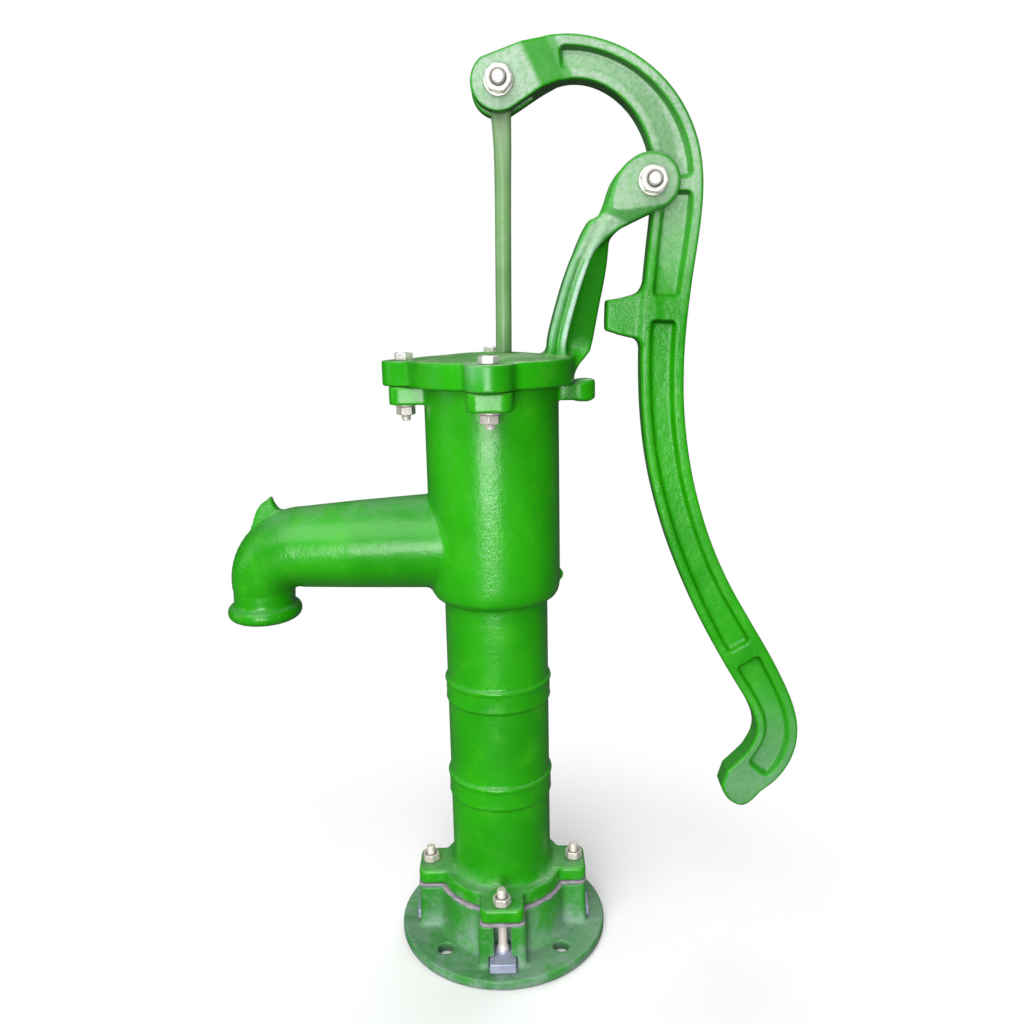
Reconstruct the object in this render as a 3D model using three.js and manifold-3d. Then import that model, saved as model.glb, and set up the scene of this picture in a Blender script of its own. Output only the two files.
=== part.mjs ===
// Hand well pump: cast-iron lift pump with a forked fulcrum stand, curved lever
// handle, jointed pump rod, leather cup piston and leather foot valve.
// Millimetres, +Z up. Pieces are drawn with the barrel axis on the Z axis, the
// spout towards -X and the lever on the +X side; the meshes are then moved along X
// so that the origin is the middle of the overall box. The front is -Y, and Z = 0
// is the underside of the base flange.
import * as THREE from 'three';
import { mergeVertices } from 'three/addons/utils/BufferGeometryUtils.js';
import { ConvexGeometry } from 'three/addons/geometries/ConvexGeometry.js';
import Module from 'manifold-3d';

const wasm = await Module();
wasm.setup();

// ---------------------------------------------------------- shared dimensions
const AXIS_TO_MIDDLE = 14.8;    // barrel axis to the middle of the overall box, along X
const CASTING_SEGMENTS = 32;    // facets round the large castings
const GAP = 0.3;                // air between separate pieces
const CLEARANCE = GAP + 0.1;    // radial air round a shank or spigot
const OVERRUN = 2;              // how far a cutter reaches past the face it opens

const BASE_TOP = 44.8;
const BASE_DISC_THICKNESS = 8;
const BASE_BOLT_RADIUS = 62;    // barrel axis to the base bolts
const HEAD_POCKET_TOP = 17.2;
const HEAD_POCKET_WIDTH = 22.6;

const BARREL_BOTTOM = 47.6;
const BARREL_TOP = 471.4;
const BARREL_FLANGE_RADIUS = 52;
const TAB_TOP = 59.8;
const TAB_WIDTH = 36.5;
const TAB_REACH = 71.6;
const UPPER_BORE_RADIUS = 46;

const EAR_BOTTOM = 457.5;
const CAP_BOLT_RADIUS = 66.5;   // barrel axis to the cap bolts
const CAP_BOTTOM = BARREL_TOP + GAP;
const CAP_RIM = 490.6;

// lever pivots as [x, z], with the half widths of the parts they pass through
const FULCRUM = [119.5, 614.8];
const CLEVIS = [10.5, 683.4];
const FORK_INNER_HALF = 11;
const FORK_OUTER_HALF = 20;
const CLEVIS_HALF = 17;

const PISTON_BOTTOM = 206;      // underside of the piston at rest
const PIN_HEIGHT = 51;          // piston pin above that underside
const PISTON_PIN_Z = PISTON_BOTTOM + PIN_HEIGHT;

// M8 holds the cap and base, M10 makes the pivots
const M8 = {
  radius: 3.85, hole: 4.4, acrossFlats: 13, head: 5.3, nut: 6.5, washerRadius: 8, washer: 1.6,
};
const M10 = {
  radius: 4.85, hole: 5.4, acrossFlats: 17.4, head: 6.4, nut: 8.4, washerRadius: 10.5, washer: 2,
};

const FINISH = {
  paint: { color: 0x2fa81c, roughness: 0.32, metalness: 0 },
  softPaint: { color: 0x5fb558, roughness: 0.4, metalness: 0 },
  dustyPaint: { color: 0x4a9a50, roughness: 0.55, metalness: 0 },
  zinc: { color: 0xc9c8c2, roughness: 0.35, metalness: 0.9 },
  forged: { color: 0x9aa0ac, roughness: 0.55, metalness: 0.6 },
  rodSteel: { color: 0x6f8f62, roughness: 0.5, metalness: 0.4 },
  iron: { color: 0x4c4d4f, roughness: 0.7, metalness: 0.5 },
  brass: { color: 0xb08d4a, roughness: 0.35, metalness: 0.9 },
  leather: { color: 0x7a5230, roughness: 0.8, metalness: 0 },
  gasket: { color: 0xa9a3ad, roughness: 0.85, metalness: 0 },
};

// -------------------------------------------------------------- solid helpers
// welds a closed geometry into a manifold, with its faces pointing outwards
function toManifold(geometry) {
  geometry.deleteAttribute('normal');
  geometry.deleteAttribute('uv');
  const welded = mergeVertices(geometry, 1e-4);
  const { position } = welded.attributes;
  const index = welded.index.array;
  const triangles = [];
  for (let i = 0; i < index.length; i += 3) {
    const [a, b, c] = index.slice(i, i + 3);
    if (a !== b && b !== c && a !== c) triangles.push(a, b, c);
  }
  const corner = (i) => new THREE.Vector3().fromBufferAttribute(position, triangles[i]);
  let volume = 0;
  for (let i = 0; i < triangles.length; i += 3) {
    volume += corner(i).dot(corner(i + 1).cross(corner(i + 2)));
  }
  if (volume < 0) triangles.reverse();
  return new wasm.Manifold(new wasm.Mesh({
    numProp: 3,
    vertProperties: new Float32Array(position.array),
    triVerts: new Uint32Array(triangles),
  }));
}

const union = (...parts) => parts.flat().reduce((a, b) => a.add(b));
const cut = (body, ...tools) => tools.flat().reduce((a, b) => a.subtract(b), body);

// solid of revolution about a vertical axis; profile is [radius, z] pairs
function lathe(profile, segments = CASTING_SEGMENTS, [x, y] = [0, 0]) {
  const points = profile.map(([radius, z]) => new THREE.Vector2(radius, z));
  const offAxis = points[0].x > 1e-6 || points[points.length - 1].x > 1e-6;
  if (offAxis) points.push(points[0].clone());
  const geometry = new THREE.LatheGeometry(points, segments);
  geometry.rotateX(Math.PI / 2);
  geometry.translate(x, y, 0);
  return toManifold(geometry);
}

function cylinderZ(radius, z0, z1, segments = 20, [x, y] = [0, 0], turn = 0) {
  const geometry = new THREE.CylinderGeometry(radius, radius, z1 - z0, segments);
  geometry.rotateX(Math.PI / 2);
  geometry.rotateZ(turn);
  geometry.translate(x, y, (z0 + z1) / 2);
  return toManifold(geometry);
}

function cylinderY(radius, y0, y1, segments, [x, z], turn = 0) {
  const geometry = new THREE.CylinderGeometry(radius, radius, y1 - y0, segments);
  geometry.rotateY(turn);
  geometry.translate(x, (y0 + y1) / 2, z);
  return toManifold(geometry);
}

// cutter for a vertical hole through everything between z0 and z1
const holeZ = (radius, z0, z1, segments, place) => (
  cylinderZ(radius, z0 - OVERRUN, z1 + OVERRUN, segments, place));
// cutter for a pivot hole along Y, longer than any piece is wide
const pivotHole = (radius, place) => cylinderY(radius, -30, 30, 16, place);

function extrude(outline, depth) {
  const shape = new THREE.Shape(outline.map(([x, y]) => new THREE.Vector2(x, y)));
  return new THREE.ExtrudeGeometry(shape, { depth, bevelEnabled: false, curveSegments: 1 });
}

// outline in the XZ plane, thick from y0 to y1
function plateY(outline, y0, y1) {
  const geometry = extrude(outline, y1 - y0);
  geometry.rotateX(Math.PI / 2);
  geometry.translate(0, y1, 0);
  return toManifold(geometry);
}

// outline in the XY plane, turned by quarters about Z, thick from z0 to z1
function plateZ(outline, z0, z1, quarter = 0) {
  const geometry = extrude(outline.map((point) => turned(point, quarter)), z1 - z0);
  geometry.translate(0, 0, z0);
  return toManifold(geometry);
}

function hullOf(points) {
  return toManifold(new ConvexGeometry(points.map((point) => new THREE.Vector3(...point))));
}

// closed tube along a path in the XZ plane;
// stations are [x, z, tangent x, tangent z, radius]
function tubeXZ(stations, segments = 20) {
  const positions = [];
  const index = [];
  for (const [x, z, tangentX, tangentZ, radius] of stations) {
    const length = Math.hypot(tangentX, tangentZ);
    for (let k = 0; k < segments; k++) {
      const angle = 2 * Math.PI * k / segments;
      const inPlane = radius * Math.cos(angle) / length;
      positions.push(x - tangentZ * inPlane, radius * Math.sin(angle), z + tangentX * inPlane);
    }
  }
  const lastRing = (stations.length - 1) * segments;
  const startCentre = stations.length * segments;
  const endCentre = startCentre + 1;
  for (const [x, z] of [stations[0], stations[stations.length - 1]]) positions.push(x, 0, z);
  for (let k = 0; k < segments; k++) {
    const next = (k + 1) % segments;
    for (let ring = 0; ring < lastRing; ring += segments) {
      const [a, b] = [ring + k, ring + next];
      const [c, d] = [a + segments, b + segments];
      index.push(a, b, d, a, d, c);
    }
    index.push(startCentre, next, k, endCentre, lastRing + k, lastRing + next);
  }
  const geometry = new THREE.BufferGeometry();
  geometry.setAttribute('position', new THREE.Float32BufferAttribute(positions, 3));
  geometry.setIndex(index);
  return toManifold(geometry);
}

// -------------------------------------------------------------- point helpers
// the four sides, each a quarter turn on from +X
const SIDES = ['right', 'back', 'left', 'front'];
const QUARTERS = [0, 1, 2, 3];
const CAP_QUARTERS = [1, 2, 3]; // the right-hand ear stays free of the cap

function turned([x, y], quarter) {
  const cos = [1, 0, -1, 0][quarter];
  const sin = [0, 1, 0, -1][quarter];
  return [x * cos - y * sin, x * sin + y * cos];
}
const placeAt = (radius, quarter) => turned([radius, 0], quarter);

// angles in degrees
function arc([x, y], radius, from, to, steps) {
  return Array.from({ length: steps + 1 }, (_, i) => {
    const angle = (from + (to - from) * i / steps) * Math.PI / 180;
    return [x + radius * Math.cos(angle), y + radius * Math.sin(angle)];
  });
}

const rectangle = (x0, x1, y0, y1) => [[x0, y0], [x1, y0], [x1, y1], [x0, y1]];

// round-ended slot whose end arcs are centred at x0 and x1
const stadium = (x0, x1, y, radius) => [
  ...arc([x1, y], radius, -90, 90, 6), ...arc([x0, y], radius, 90, 270, 6)];

// tab reaching out along +X, with its outer corners cut off
function tab(width, reach, chamfer) {
  const half = width / 2;
  return [
    [40, -half], [reach - chamfer, -half], [reach, -half + chamfer],
    [reach, half - chamfer], [reach - chamfer, half], [40, half],
  ];
}

// profile or outline whose heights are measured from a base height
const above = (base, points) => points.map(([x, z]) => [x, base + z]);

// pair of points level with each other on the two sides of the XZ plane
const across = (x, z, half) => [[x, -half, z], [x, half, z]];

// ------------------------------------------------------------------ fasteners
// `cylinder` is cylinderZ or cylinderY; the head points along + that axis
const HEX_CORNER = 1 / Math.sqrt(3);    // corner radius over width across flats

function bolt(cylinder, size, place, seat, tip, turn) {
  return union(
    cylinder(size.acrossFlats * HEX_CORNER, seat, seat + size.head, 6, place, turn),
    cylinder(size.radius, tip, seat + 1, 12, place));
}

function ring(cylinder, size, outer, place, start, end) {
  return cut(outer, cylinder(size.radius + CLEARANCE, start - 1, end + 1, 12, place));
}

function nut(cylinder, size, place, start, turn) {
  const end = start + size.nut;
  const hexagon = cylinder(size.acrossFlats * HEX_CORNER, start, end, 6, place, turn);
  return ring(cylinder, size, hexagon, place, start, end);
}

function washer(cylinder, size, place, start) {
  const end = start + size.washer;
  const disc = cylinder(size.washerRadius, start, end, 16, place);
  return ring(cylinder, size, disc, place, start, end);
}

const HEX_TURN_Z = Math.PI / 6;

// --------------------------------------------------------------- base casting
function baseFlange() {
  const discRadius = 88;
  const discTop = BASE_DISC_THICKNESS;
  const chamberRadius = 55;
  const suctionRadius = 21;
  const seatRadius = 20;
  const bossReach = 72;
  const slotHalf = 13.5 / 2;
  const pocketHalf = HEAD_POCKET_WIDTH / 2;
  const hole = { radius: 6.5, fromAxis: 68 };

  const disc = lathe([
    [suctionRadius, 0], [discRadius, 0], [discRadius, discTop - 1.5], [discRadius - 1.5, discTop],
    [chamberRadius + 3, discTop], [chamberRadius + 0.3, discTop + 3.5],
    [chamberRadius - 0.4, BASE_TOP], [seatRadius, BASE_TOP], [seatRadius, 39],
    [46, 36], [47, 17], [suctionRadius, 13],
  ]);
  // keeps the inner ends of the bosses out of the chamber
  const hollow = lathe([[0, 13], [47.5, 16], [47, 37], [0, 41]], 16);
  const boss = tab(38, bossReach, 5);
  const slot = rectangle(54, bossReach + 5, -slotHalf, slotHalf);
  const pocket = rectangle(53, bossReach + 5, -pocketHalf, pocketHalf);

  let body = union(disc, QUARTERS.map((quarter) => (
    cut(plateZ(boss, discTop - 1, BASE_TOP, quarter), hollow))));
  for (const quarter of QUARTERS) {
    const angle = Math.PI / 4 + quarter * Math.PI / 2;
    const place = [hole.fromAxis * Math.cos(angle), hole.fromAxis * Math.sin(angle)];
    body = cut(body,
      plateZ(slot, discTop, BASE_TOP + OVERRUN, quarter),
      plateZ(pocket, discTop, HEAD_POCKET_TOP, quarter),
      holeZ(hole.radius, 0, discTop, 16, place));
  }
  return body;
}

// leather gasket clamped between base and barrel
function baseGasket() {
  const bottom = BASE_TOP + GAP;
  const top = BARREL_BOTTOM - GAP;
  const outline = tab(TAB_WIDTH - 1, TAB_REACH - 1, 4);
  return cut(
    union(
      cylinderZ(BARREL_FLANGE_RADIUS + 2, bottom, top, CASTING_SEGMENTS),
      QUARTERS.map((quarter) => plateZ(outline, bottom, top, quarter))),
    holeZ(30, bottom, top, 24),
    QUARTERS.map((quarter) => (
      holeZ(M8.hole, bottom, top, 10, placeAt(BASE_BOLT_RADIUS, quarter)))));
}

// --------------------------------------------------------- barrel with spout
const SPOUT = { x: -188.3, mouth: 286.4, wall: 5 };
const ELBOW = { x: -152, z: 344.4, bendRadius: 35, startRadius: 32.5, taper: 8, steps: 5 };
// level part of the spout, from inside the barrel outwards: x, z, outer radius
const SPOUT_RUN = [
  [-30, 347.8, 38], [-60, 347.2, 37.2], [-110, 345.8, 34.9], [ELBOW.x, ELBOW.z, ELBOW.startRadius],
];

// tube stations of the level run and the quarter bend, `inset` inside the surface
function spoutStations(inset) {
  const stations = SPOUT_RUN.map(([x, z, radius]) => [x, z, -1, 0, radius - inset]);
  for (let i = 1; i <= ELBOW.steps; i++) {
    const part = i / ELBOW.steps;
    const angle = Math.PI / 2 * (1 + part);
    stations.push([
      ELBOW.x + ELBOW.bendRadius * Math.cos(angle),
      ELBOW.z + ELBOW.bendRadius * (Math.sin(angle) - 1),
      -Math.sin(angle), Math.cos(angle),
      ELBOW.startRadius - ELBOW.taper * part ** 1.6 - inset,
    ]);
  }
  return stations;
}

function spoutSolid() {
  const tube = tubeXZ([...spoutStations(0), [SPOUT.x, SPOUT.mouth + 8, 0, -1, 24.4]]);
  const bead = lathe(above(SPOUT.mouth, [
    [0, 0], [26.6, 0], [28.9, 2.5], [29.2, 6.2], [27.8, 9.4], [24.6, 12], [0, 12],
  ]), 20, [SPOUT.x, 0]);
  // upright horn on the outside of the elbow
  const horn = plateY([
    [-192, 362], [-189.5, 371.3], [-185, 379], [-176.8, 385.6], [-174.3, 380], [-168, 373],
    [-168, 362],
  ], -5.5, 5.5);
  // web under the spout, against the barrel
  const web = plateY([
    [-58, 315], [-52.5, 311.2], [-46.5, 304], [-40, 299.5], [-36, 304], [-36, 324],
  ], -9, 9);
  return [tube, bead, horn, web];
}

function pumpBarrel() {
  const flangeRadius = BARREL_FLANGE_RADIUS;
  const lowerRadius = 41.6;
  const upperRadius = 52;
  const lowerBoreRadius = 37.5;
  const bandRadius = 43;
  const stepZ = 301.5;
  const ear = { half: 33 / 2, reach: 78.5 };
  const freeEarRadius = 70.6;   // barrel axis to the hole in the right-hand ear

  // raised bands, lower one first: bottom z, top z
  const bands = [[130.4, 149.7], [214.7, 233.6]].flatMap(([z0, z1]) => [
    [lowerRadius, z0], [bandRadius, z0], [bandRadius, z1], [lowerRadius, z1]]);
  const outer = lathe([
    [0, BARREL_BOTTOM], [flangeRadius, BARREL_BOTTOM], [flangeRadius, TAB_TOP - 1],
    [flangeRadius - 1, TAB_TOP], [45.5, TAB_TOP + 0.6], [lowerRadius + 0.8, TAB_TOP + 3.5],
    [lowerRadius, TAB_TOP + 7], ...bands, [lowerRadius, stepZ],
    [46.8, stepZ + 1.3], [50.2, stepZ + 4], [51.6, stepZ + 8], [upperRadius, stepZ + 13],
    [upperRadius, BARREL_TOP], [0, BARREL_TOP],
  ]);
  const bore = lathe([
    [0, BARREL_BOTTOM - OVERRUN], [lowerBoreRadius, BARREL_BOTTOM - OVERRUN],
    [lowerBoreRadius, 306], [UPPER_BORE_RADIUS, 312],
    [UPPER_BORE_RADIUS, BARREL_TOP + OVERRUN], [0, BARREL_TOP + OVERRUN],
  ]);
  const spoutBore = tubeXZ(
    [...spoutStations(SPOUT.wall), [SPOUT.x, SPOUT.mouth - 3, 0, -1, 19.6]], 14);
  const earOutline = [
    [42, -ear.half], [ear.reach - 10, -ear.half], [ear.reach - 3, -ear.half + 5],
    [ear.reach, -6], [ear.reach, 6],
    [ear.reach - 3, ear.half - 5], [ear.reach - 10, ear.half], [42, ear.half],
  ];
  const tabOutline = tab(TAB_WIDTH, TAB_REACH, 4);

  let body = union(outer, spoutSolid());
  body = union(body, QUARTERS.map((quarter) => (
    plateZ(tabOutline, BARREL_BOTTOM, TAB_TOP, quarter))));
  // three full-depth ears, and the lower free one with its raised bolt boss
  body = union(body, QUARTERS.map((quarter) => (
    plateZ(earOutline, EAR_BOTTOM, quarter === 0 ? BARREL_TOP - 0.6 : BARREL_TOP, quarter))));
  body = union(body, cylinderZ(9, EAR_BOTTOM, BARREL_TOP, 20, [freeEarRadius, 0]));

  // the spout bore is cut back so that it opens the barrel wall on the spout side only
  body = cut(body, bore, cut(spoutBore, cylinderZ(UPPER_BORE_RADIUS - 1, 250, 420, 24)));
  for (const quarter of QUARTERS) {
    const earHoleRadius = quarter === 0 ? freeEarRadius : CAP_BOLT_RADIUS;
    body = cut(body,
      holeZ(M8.hole, BARREL_BOTTOM, TAB_TOP, 12, placeAt(BASE_BOLT_RADIUS, quarter)),
      holeZ(M8.hole, EAR_BOTTOM, BARREL_TOP, 12, placeAt(earHoleRadius, quarter)));
  }
  return body;
}

// ---------------------------------------------------- top cap with fulcrum stand
// edges of the stand, bottom to top: x, z
const STAND_LEFT = [
  [43.2, 494], [43.8, 503], [45.4, 511], [47.4, 518.4], [49.4, 525.8], [51.6, 533.1],
  [53.8, 540.5], [56.2, 547.7], [58.8, 554.9], [61.7, 562.1], [65.1, 569.3], [68.8, 576.4],
  [72.2, 583.4],
];
const STAND_RIGHT = [
  [77.5, 494], [79, 503], [80.3, 510.3], [81.5, 517.8], [82.8, 525.2], [83.8, 532.5],
  [85.5, 539.8], [86.7, 547.1], [88, 554.4], [89.4, 561.6], [90, 568.8], [91, 576],
];

// wide flange on the left edge, web to the right of it, foot, fork root and two cheeks
function fulcrumStand() {
  const flangeThickness = 13.5;
  const shifted = (dx) => STAND_LEFT.map(([x, z]) => [x + dx, z]);
  const flange = plateY(
    [[44.5, 487], ...STAND_LEFT, ...shifted(flangeThickness).reverse(), [57, 487]], -17, 17);
  const web = plateY(
    [[50, 486], ...shifted(6), ...[...STAND_RIGHT].reverse(), [66, 485]], -6, 6);
  const foot = hullOf([
    ...across(38, 486, 21), ...across(60, 486, 21),
    ...across(40.5, 500, 17), ...across(56, 500, 17),
  ]);
  const root = plateY([
    [68, 575], [72.2, 583.4], [76.6, 590.5], [86, 592.5], [99, 585.5], [91, 576], [90, 566],
    [74, 562],
  ], -17.5, 17.5);
  const cheek = [
    ...arc(FULCRUM, 20.5, -50, 112, 12),
    [104.8, 630.8], [98.8, 625.8], [93.8, 619.4], [90.4, 612.4], [88, 604.6], [85.2, 597.2],
    [80.8, 590.4], [75, 585], [84, 578.5], [98, 583.5], [112, 590],
  ];
  return [
    flange, web, foot, root,
    plateY(cheek, -FORK_OUTER_HALF, -FORK_INNER_HALF),
    plateY(cheek, FORK_INNER_HALF, FORK_OUTER_HALF),
  ];
}

function topCap() {
  const top = 495.3;
  const radius = 64;
  const boreRadius = UPPER_BORE_RADIUS - 1;
  const lobe = 17;

  let body = lathe([
    [boreRadius, CAP_BOTTOM], [radius, CAP_BOTTOM], [radius, CAP_RIM - 1],
    [radius - 1.2, CAP_RIM], [56, CAP_RIM + 0.15], [30, top - 1.5], [0, top],
    [0, top - 8.5], [34, 484.5], [boreRadius, 481],
  ]);
  // rounded bolt lobes, each with a flared root blending it into the rim
  const lobeRoot = [
    [50, -lobe - 3], [58, -lobe - 3], [66, -lobe], [66, lobe], [58, lobe + 3], [50, lobe + 3],
  ];
  for (const quarter of CAP_QUARTERS) {
    body = union(body,
      cylinderZ(lobe, CAP_BOTTOM, CAP_RIM, 18, placeAt(CAP_BOLT_RADIUS, quarter)),
      plateZ(lobeRoot, CAP_BOTTOM, CAP_RIM, quarter));
  }
  body = cut(body, cylinderZ(boreRadius, CAP_BOTTOM - 1, 479, 32));
  body = union(body, fulcrumStand());
  const rodSlot = plateZ(stadium(-5, 12, 0, 9), CAP_BOTTOM, top + 5);
  return cut(body,
    pivotHole(M10.hole, FULCRUM),
    CAP_QUARTERS.map((quarter) => (
      holeZ(M8.hole, CAP_BOTTOM, CAP_RIM, 12, placeAt(CAP_BOLT_RADIUS, quarter)))),
    rodSlot);
}

// --------------------------------------------------------------- lever handle
// edges of the lever from the clevis to the grip, in pairs: outer x, z, inner x, z
const RAILS = [
  [27.6, 709.2, 41.5, 678.9], [43.4, 713.5, 52.8, 683.7], [59.8, 714.7, 61.9, 685.3],
  [76.1, 712.8, 71.9, 684.8], [91.9, 708.2, 81.9, 682], [106.8, 701.1, 91.5, 677],
  [120.3, 691.8, 100.1, 670.3], [132.2, 680.4, 107.5, 662], [142, 667.3, 113.5, 652.4],
  [149.6, 652.7, 118, 641.9], [154.7, 637.1, 121, 630.6], [157.2, 620.8, 122.4, 618.5],
  [157.6, 604.4, 122.3, 605.3], [156.5, 588, 121.2, 590.7], [154.6, 571.6, 119.6, 574.9],
  [152.4, 555.3, 118, 558.3], [150.4, 539, 116.6, 541.4], [148.7, 522.6, 115.6, 524.4],
  [147.4, 506.2, 114.8, 507.2], [146.7, 489.8, 114.5, 489.8], [146.6, 473.3, 114.8, 472.3],
  [147.1, 456.9, 115.6, 454.7], [148.4, 440.5, 117.1, 437.1], [150.4, 424.1, 119.3, 419.4],
  [153.1, 407.9, 122.4, 401.7], [156.5, 391.8, 126.3, 384.4], [160.7, 375.9, 131, 367.2],
  [165.5, 360.1, 136.2, 350.4], [171, 344.6, 142.1, 333.9], [177.2, 329.4, 148.5, 317.7],
  [184.1, 314.5, 155.3, 301.7], [191.7, 299.9, 162.5, 286], [199.9, 285.6, 170.2, 270.5],
  [208.2, 271.4, 178.2, 255.3], [216.6, 257.2, 186.6, 240.2], [224.7, 242.9, 195, 225.6],
  [232.3, 228.3, 203, 212.4], [239, 213.3, 209.6, 200.6], [245.2, 197.7, 213.8, 190.3],
  [247.1, 181.5, 215.2, 181], [246.4, 165.1, 213.6, 172.3], [241.8, 149.2, 209.8, 164.4],
  [232.4, 135.6, 205.2, 157.6], [219.8, 124.6, 191.3, 143.5],
];
// rounded end of the grip, outer edge to inner edge: x, z
const GRIP_END = [
  [214, 117], [208.5, 112.2], [203, 111.6], [195.8, 115.2], [190.3, 121.5], [187.3, 130],
];
// side channels, as start and end positions along RAILS (a fraction lies between rows)
const CHANNELS = [[1.5, 11.1], [11.75, 16.4], [17.4, 33.6], [34.4, 42.2]];
const OUTER_RIM = 7.5;
const INNER_RIM = 6;

function channelOutline([start, end]) {
  const rows = RAILS.map((_, i) => i).filter((i) => i > start + 0.2 && i < end - 0.2);
  const outer = [];
  const inner = [];
  for (const position of [start, ...rows, end]) {
    const row = Math.floor(position);
    const [outerX, outerZ, innerX, innerZ] = RAILS[row].map((value, column) => (
      value + (RAILS[row + 1][column] - value) * (position - row)));
    const width = Math.hypot(innerX - outerX, innerZ - outerZ);
    const inwardX = (innerX - outerX) / width;
    const inwardZ = (innerZ - outerZ) / width;
    outer.push([outerX + inwardX * OUTER_RIM, outerZ + inwardZ * OUTER_RIM]);
    inner.unshift([innerX - inwardX * INNER_RIM, innerZ - inwardZ * INNER_RIM]);
  }
  return [...outer, ...inner];
}

function handle() {
  const half = 10;
  const floorHalf = half - 5.5;   // channels are 5.5 deep on each face
  const slotHalf = 8;
  const bossRadius = 18;
  const [[outerX, outerZ, innerX, innerZ], nextRail] = RAILS;

  const rails = RAILS.slice(1);
  const beam = plateY([
    ...rails.map(([x, z]) => [x, z]), ...GRIP_END, ...rails.map(([, , x, z]) => [x, z]).reverse(),
  ], -half, half);
  const clevis = plateY([
    ...arc(CLEVIS, 20, 128, 296.5, 12), [innerX, innerZ], [outerX, outerZ],
  ], -CLEVIS_HALF, CLEVIS_HALF);
  // narrows the wide clevis to the beam
  const taper = hullOf([
    ...across(outerX - 1.5, outerZ - 0.7, CLEVIS_HALF),
    ...across(innerX - 1.5, innerZ - 0.7, CLEVIS_HALF),
    ...across(nextRail[0] + 1, nextRail[1], half),
    ...across(nextRail[2] + 1, nextRail[3], half),
  ]);
  const bossHalf = FORK_INNER_HALF - 0.5;
  const boss = cylinderY(bossRadius, -bossHalf, bossHalf, 20, FULCRUM);
  // lug on the inner edge, below the fulcrum
  const lug = plateY([
    [124, 546], [116, 541.7], [107, 536.2], [98.5, 533.4], [90, 532.2], [88.2, 530.2],
    [87.6, 512.4], [89.3, 509.6], [98.7, 506], [113.8, 502.6], [124, 498],
  ], -9, 9);

  let body = union(beam, clevis, taper, boss, lug);
  // the channels leave the fulcrum boss standing
  const keep = cylinderY(bossRadius, -20, 20, 20, FULCRUM);
  for (const outline of CHANNELS.map(channelOutline)) {
    body = cut(body,
      cut(plateY(outline, -half - OVERRUN, -floorHalf), keep),
      cut(plateY(outline, floorHalf, half + OVERRUN), keep));
  }
  // slot for the rod eye, open above, below and at the end; drawn along the
  // clevis direction, then tilted
  const tilt = 26.5 * Math.PI / 180;
  const slot = [[-16, -22], [19, -30], [19, 30], [-16, 30], [-30, 20], [-30, -20]]
    .map(([along, up]) => [
      CLEVIS[0] + along * Math.cos(tilt) - up * Math.sin(tilt),
      CLEVIS[1] + along * Math.sin(tilt) + up * Math.cos(tilt),
    ]);
  return cut(body,
    plateY(slot, -slotHalf, slotHalf), pivotHole(M10.hole, CLEVIS), pivotHole(M10.hole, FULCRUM));
}

// ------------------------------------------------------------------- pump rod
function pumpRod() {
  const radius = 6;
  const eyeHalf = 7.4;
  const shankX = CLEVIS[0] + 1.2;
  // centre line of the shank, top to bottom: x, z
  const path = [[shankX, 640], [11.3, 560], [10.3, 470], [10, 350], [8.5, 320], [3, 288], [0, 266]];

  const eye = cylinderY(12, -eyeHalf, eyeHalf, 18, CLEVIS);
  const neckX = CLEVIS[0] + 0.6;
  const neck = hullOf([
    ...across(neckX - 7.6, CLEVIS[1] - 9, 7), ...across(neckX + 7.6, CLEVIS[1] - 9, 7),
    ...arc([shankX, 0], radius, 0, 330, 11).map(([x, y]) => [x, y, 628]),
  ]);
  const shank = tubeXZ(path.map(([x, z], i) => {
    const before = path[Math.max(0, i - 1)];
    const after = path[Math.min(path.length - 1, i + 1)];
    return [x, z, after[0] - before[0], after[1] - before[1], radius];
  }), 12);
  // long eye round the piston pin: the pin floats in it as the lever swings
  const longEye = (halfLength, endRadius) => stadium(
    endRadius - halfLength, halfLength - endRadius, PISTON_PIN_Z - 1.6, endRadius);
  return cut(
    union(eye, neck, shank, plateY(longEye(22, 13), -6.6, 6.6)),
    pivotHole(M10.hole, CLEVIS), plateY(longEye(17, 8.2), -9, 9));
}

// --------------------------------------------------------------------- piston
// heights are measured from the underside of the piston
const WATERWAY_RADIUS = 13;
const SPIGOT_RADIUS = 21.5;
const SPIGOT_FIT = SPIGOT_RADIUS + CLEARANCE;   // bore of what sits round the spigot
const pistonLathe = (profile, segments) => lathe(above(PISTON_BOTTOM, profile), segments);

// lower plate with a threaded spigot and the water way through it
const pistonBase = () => pistonLathe([
  [WATERWAY_RADIUS, 0], [34, 0], [35, 1], [35, 6], [34, 7], [SPIGOT_RADIUS, 7],
  [SPIGOT_RADIUS, 20], [WATERWAY_RADIUS, 20],
], 24);

const cupLeather = () => pistonLathe([
  [SPIGOT_FIT, 7.3], [35.4, 7.3], [37, 9.5], [37.1, 29], [35.4, 30], [34.2, 29],
  [34, 11.5], [33, 10.6], [SPIGOT_FIT, 10.6],
], 28);

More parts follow.
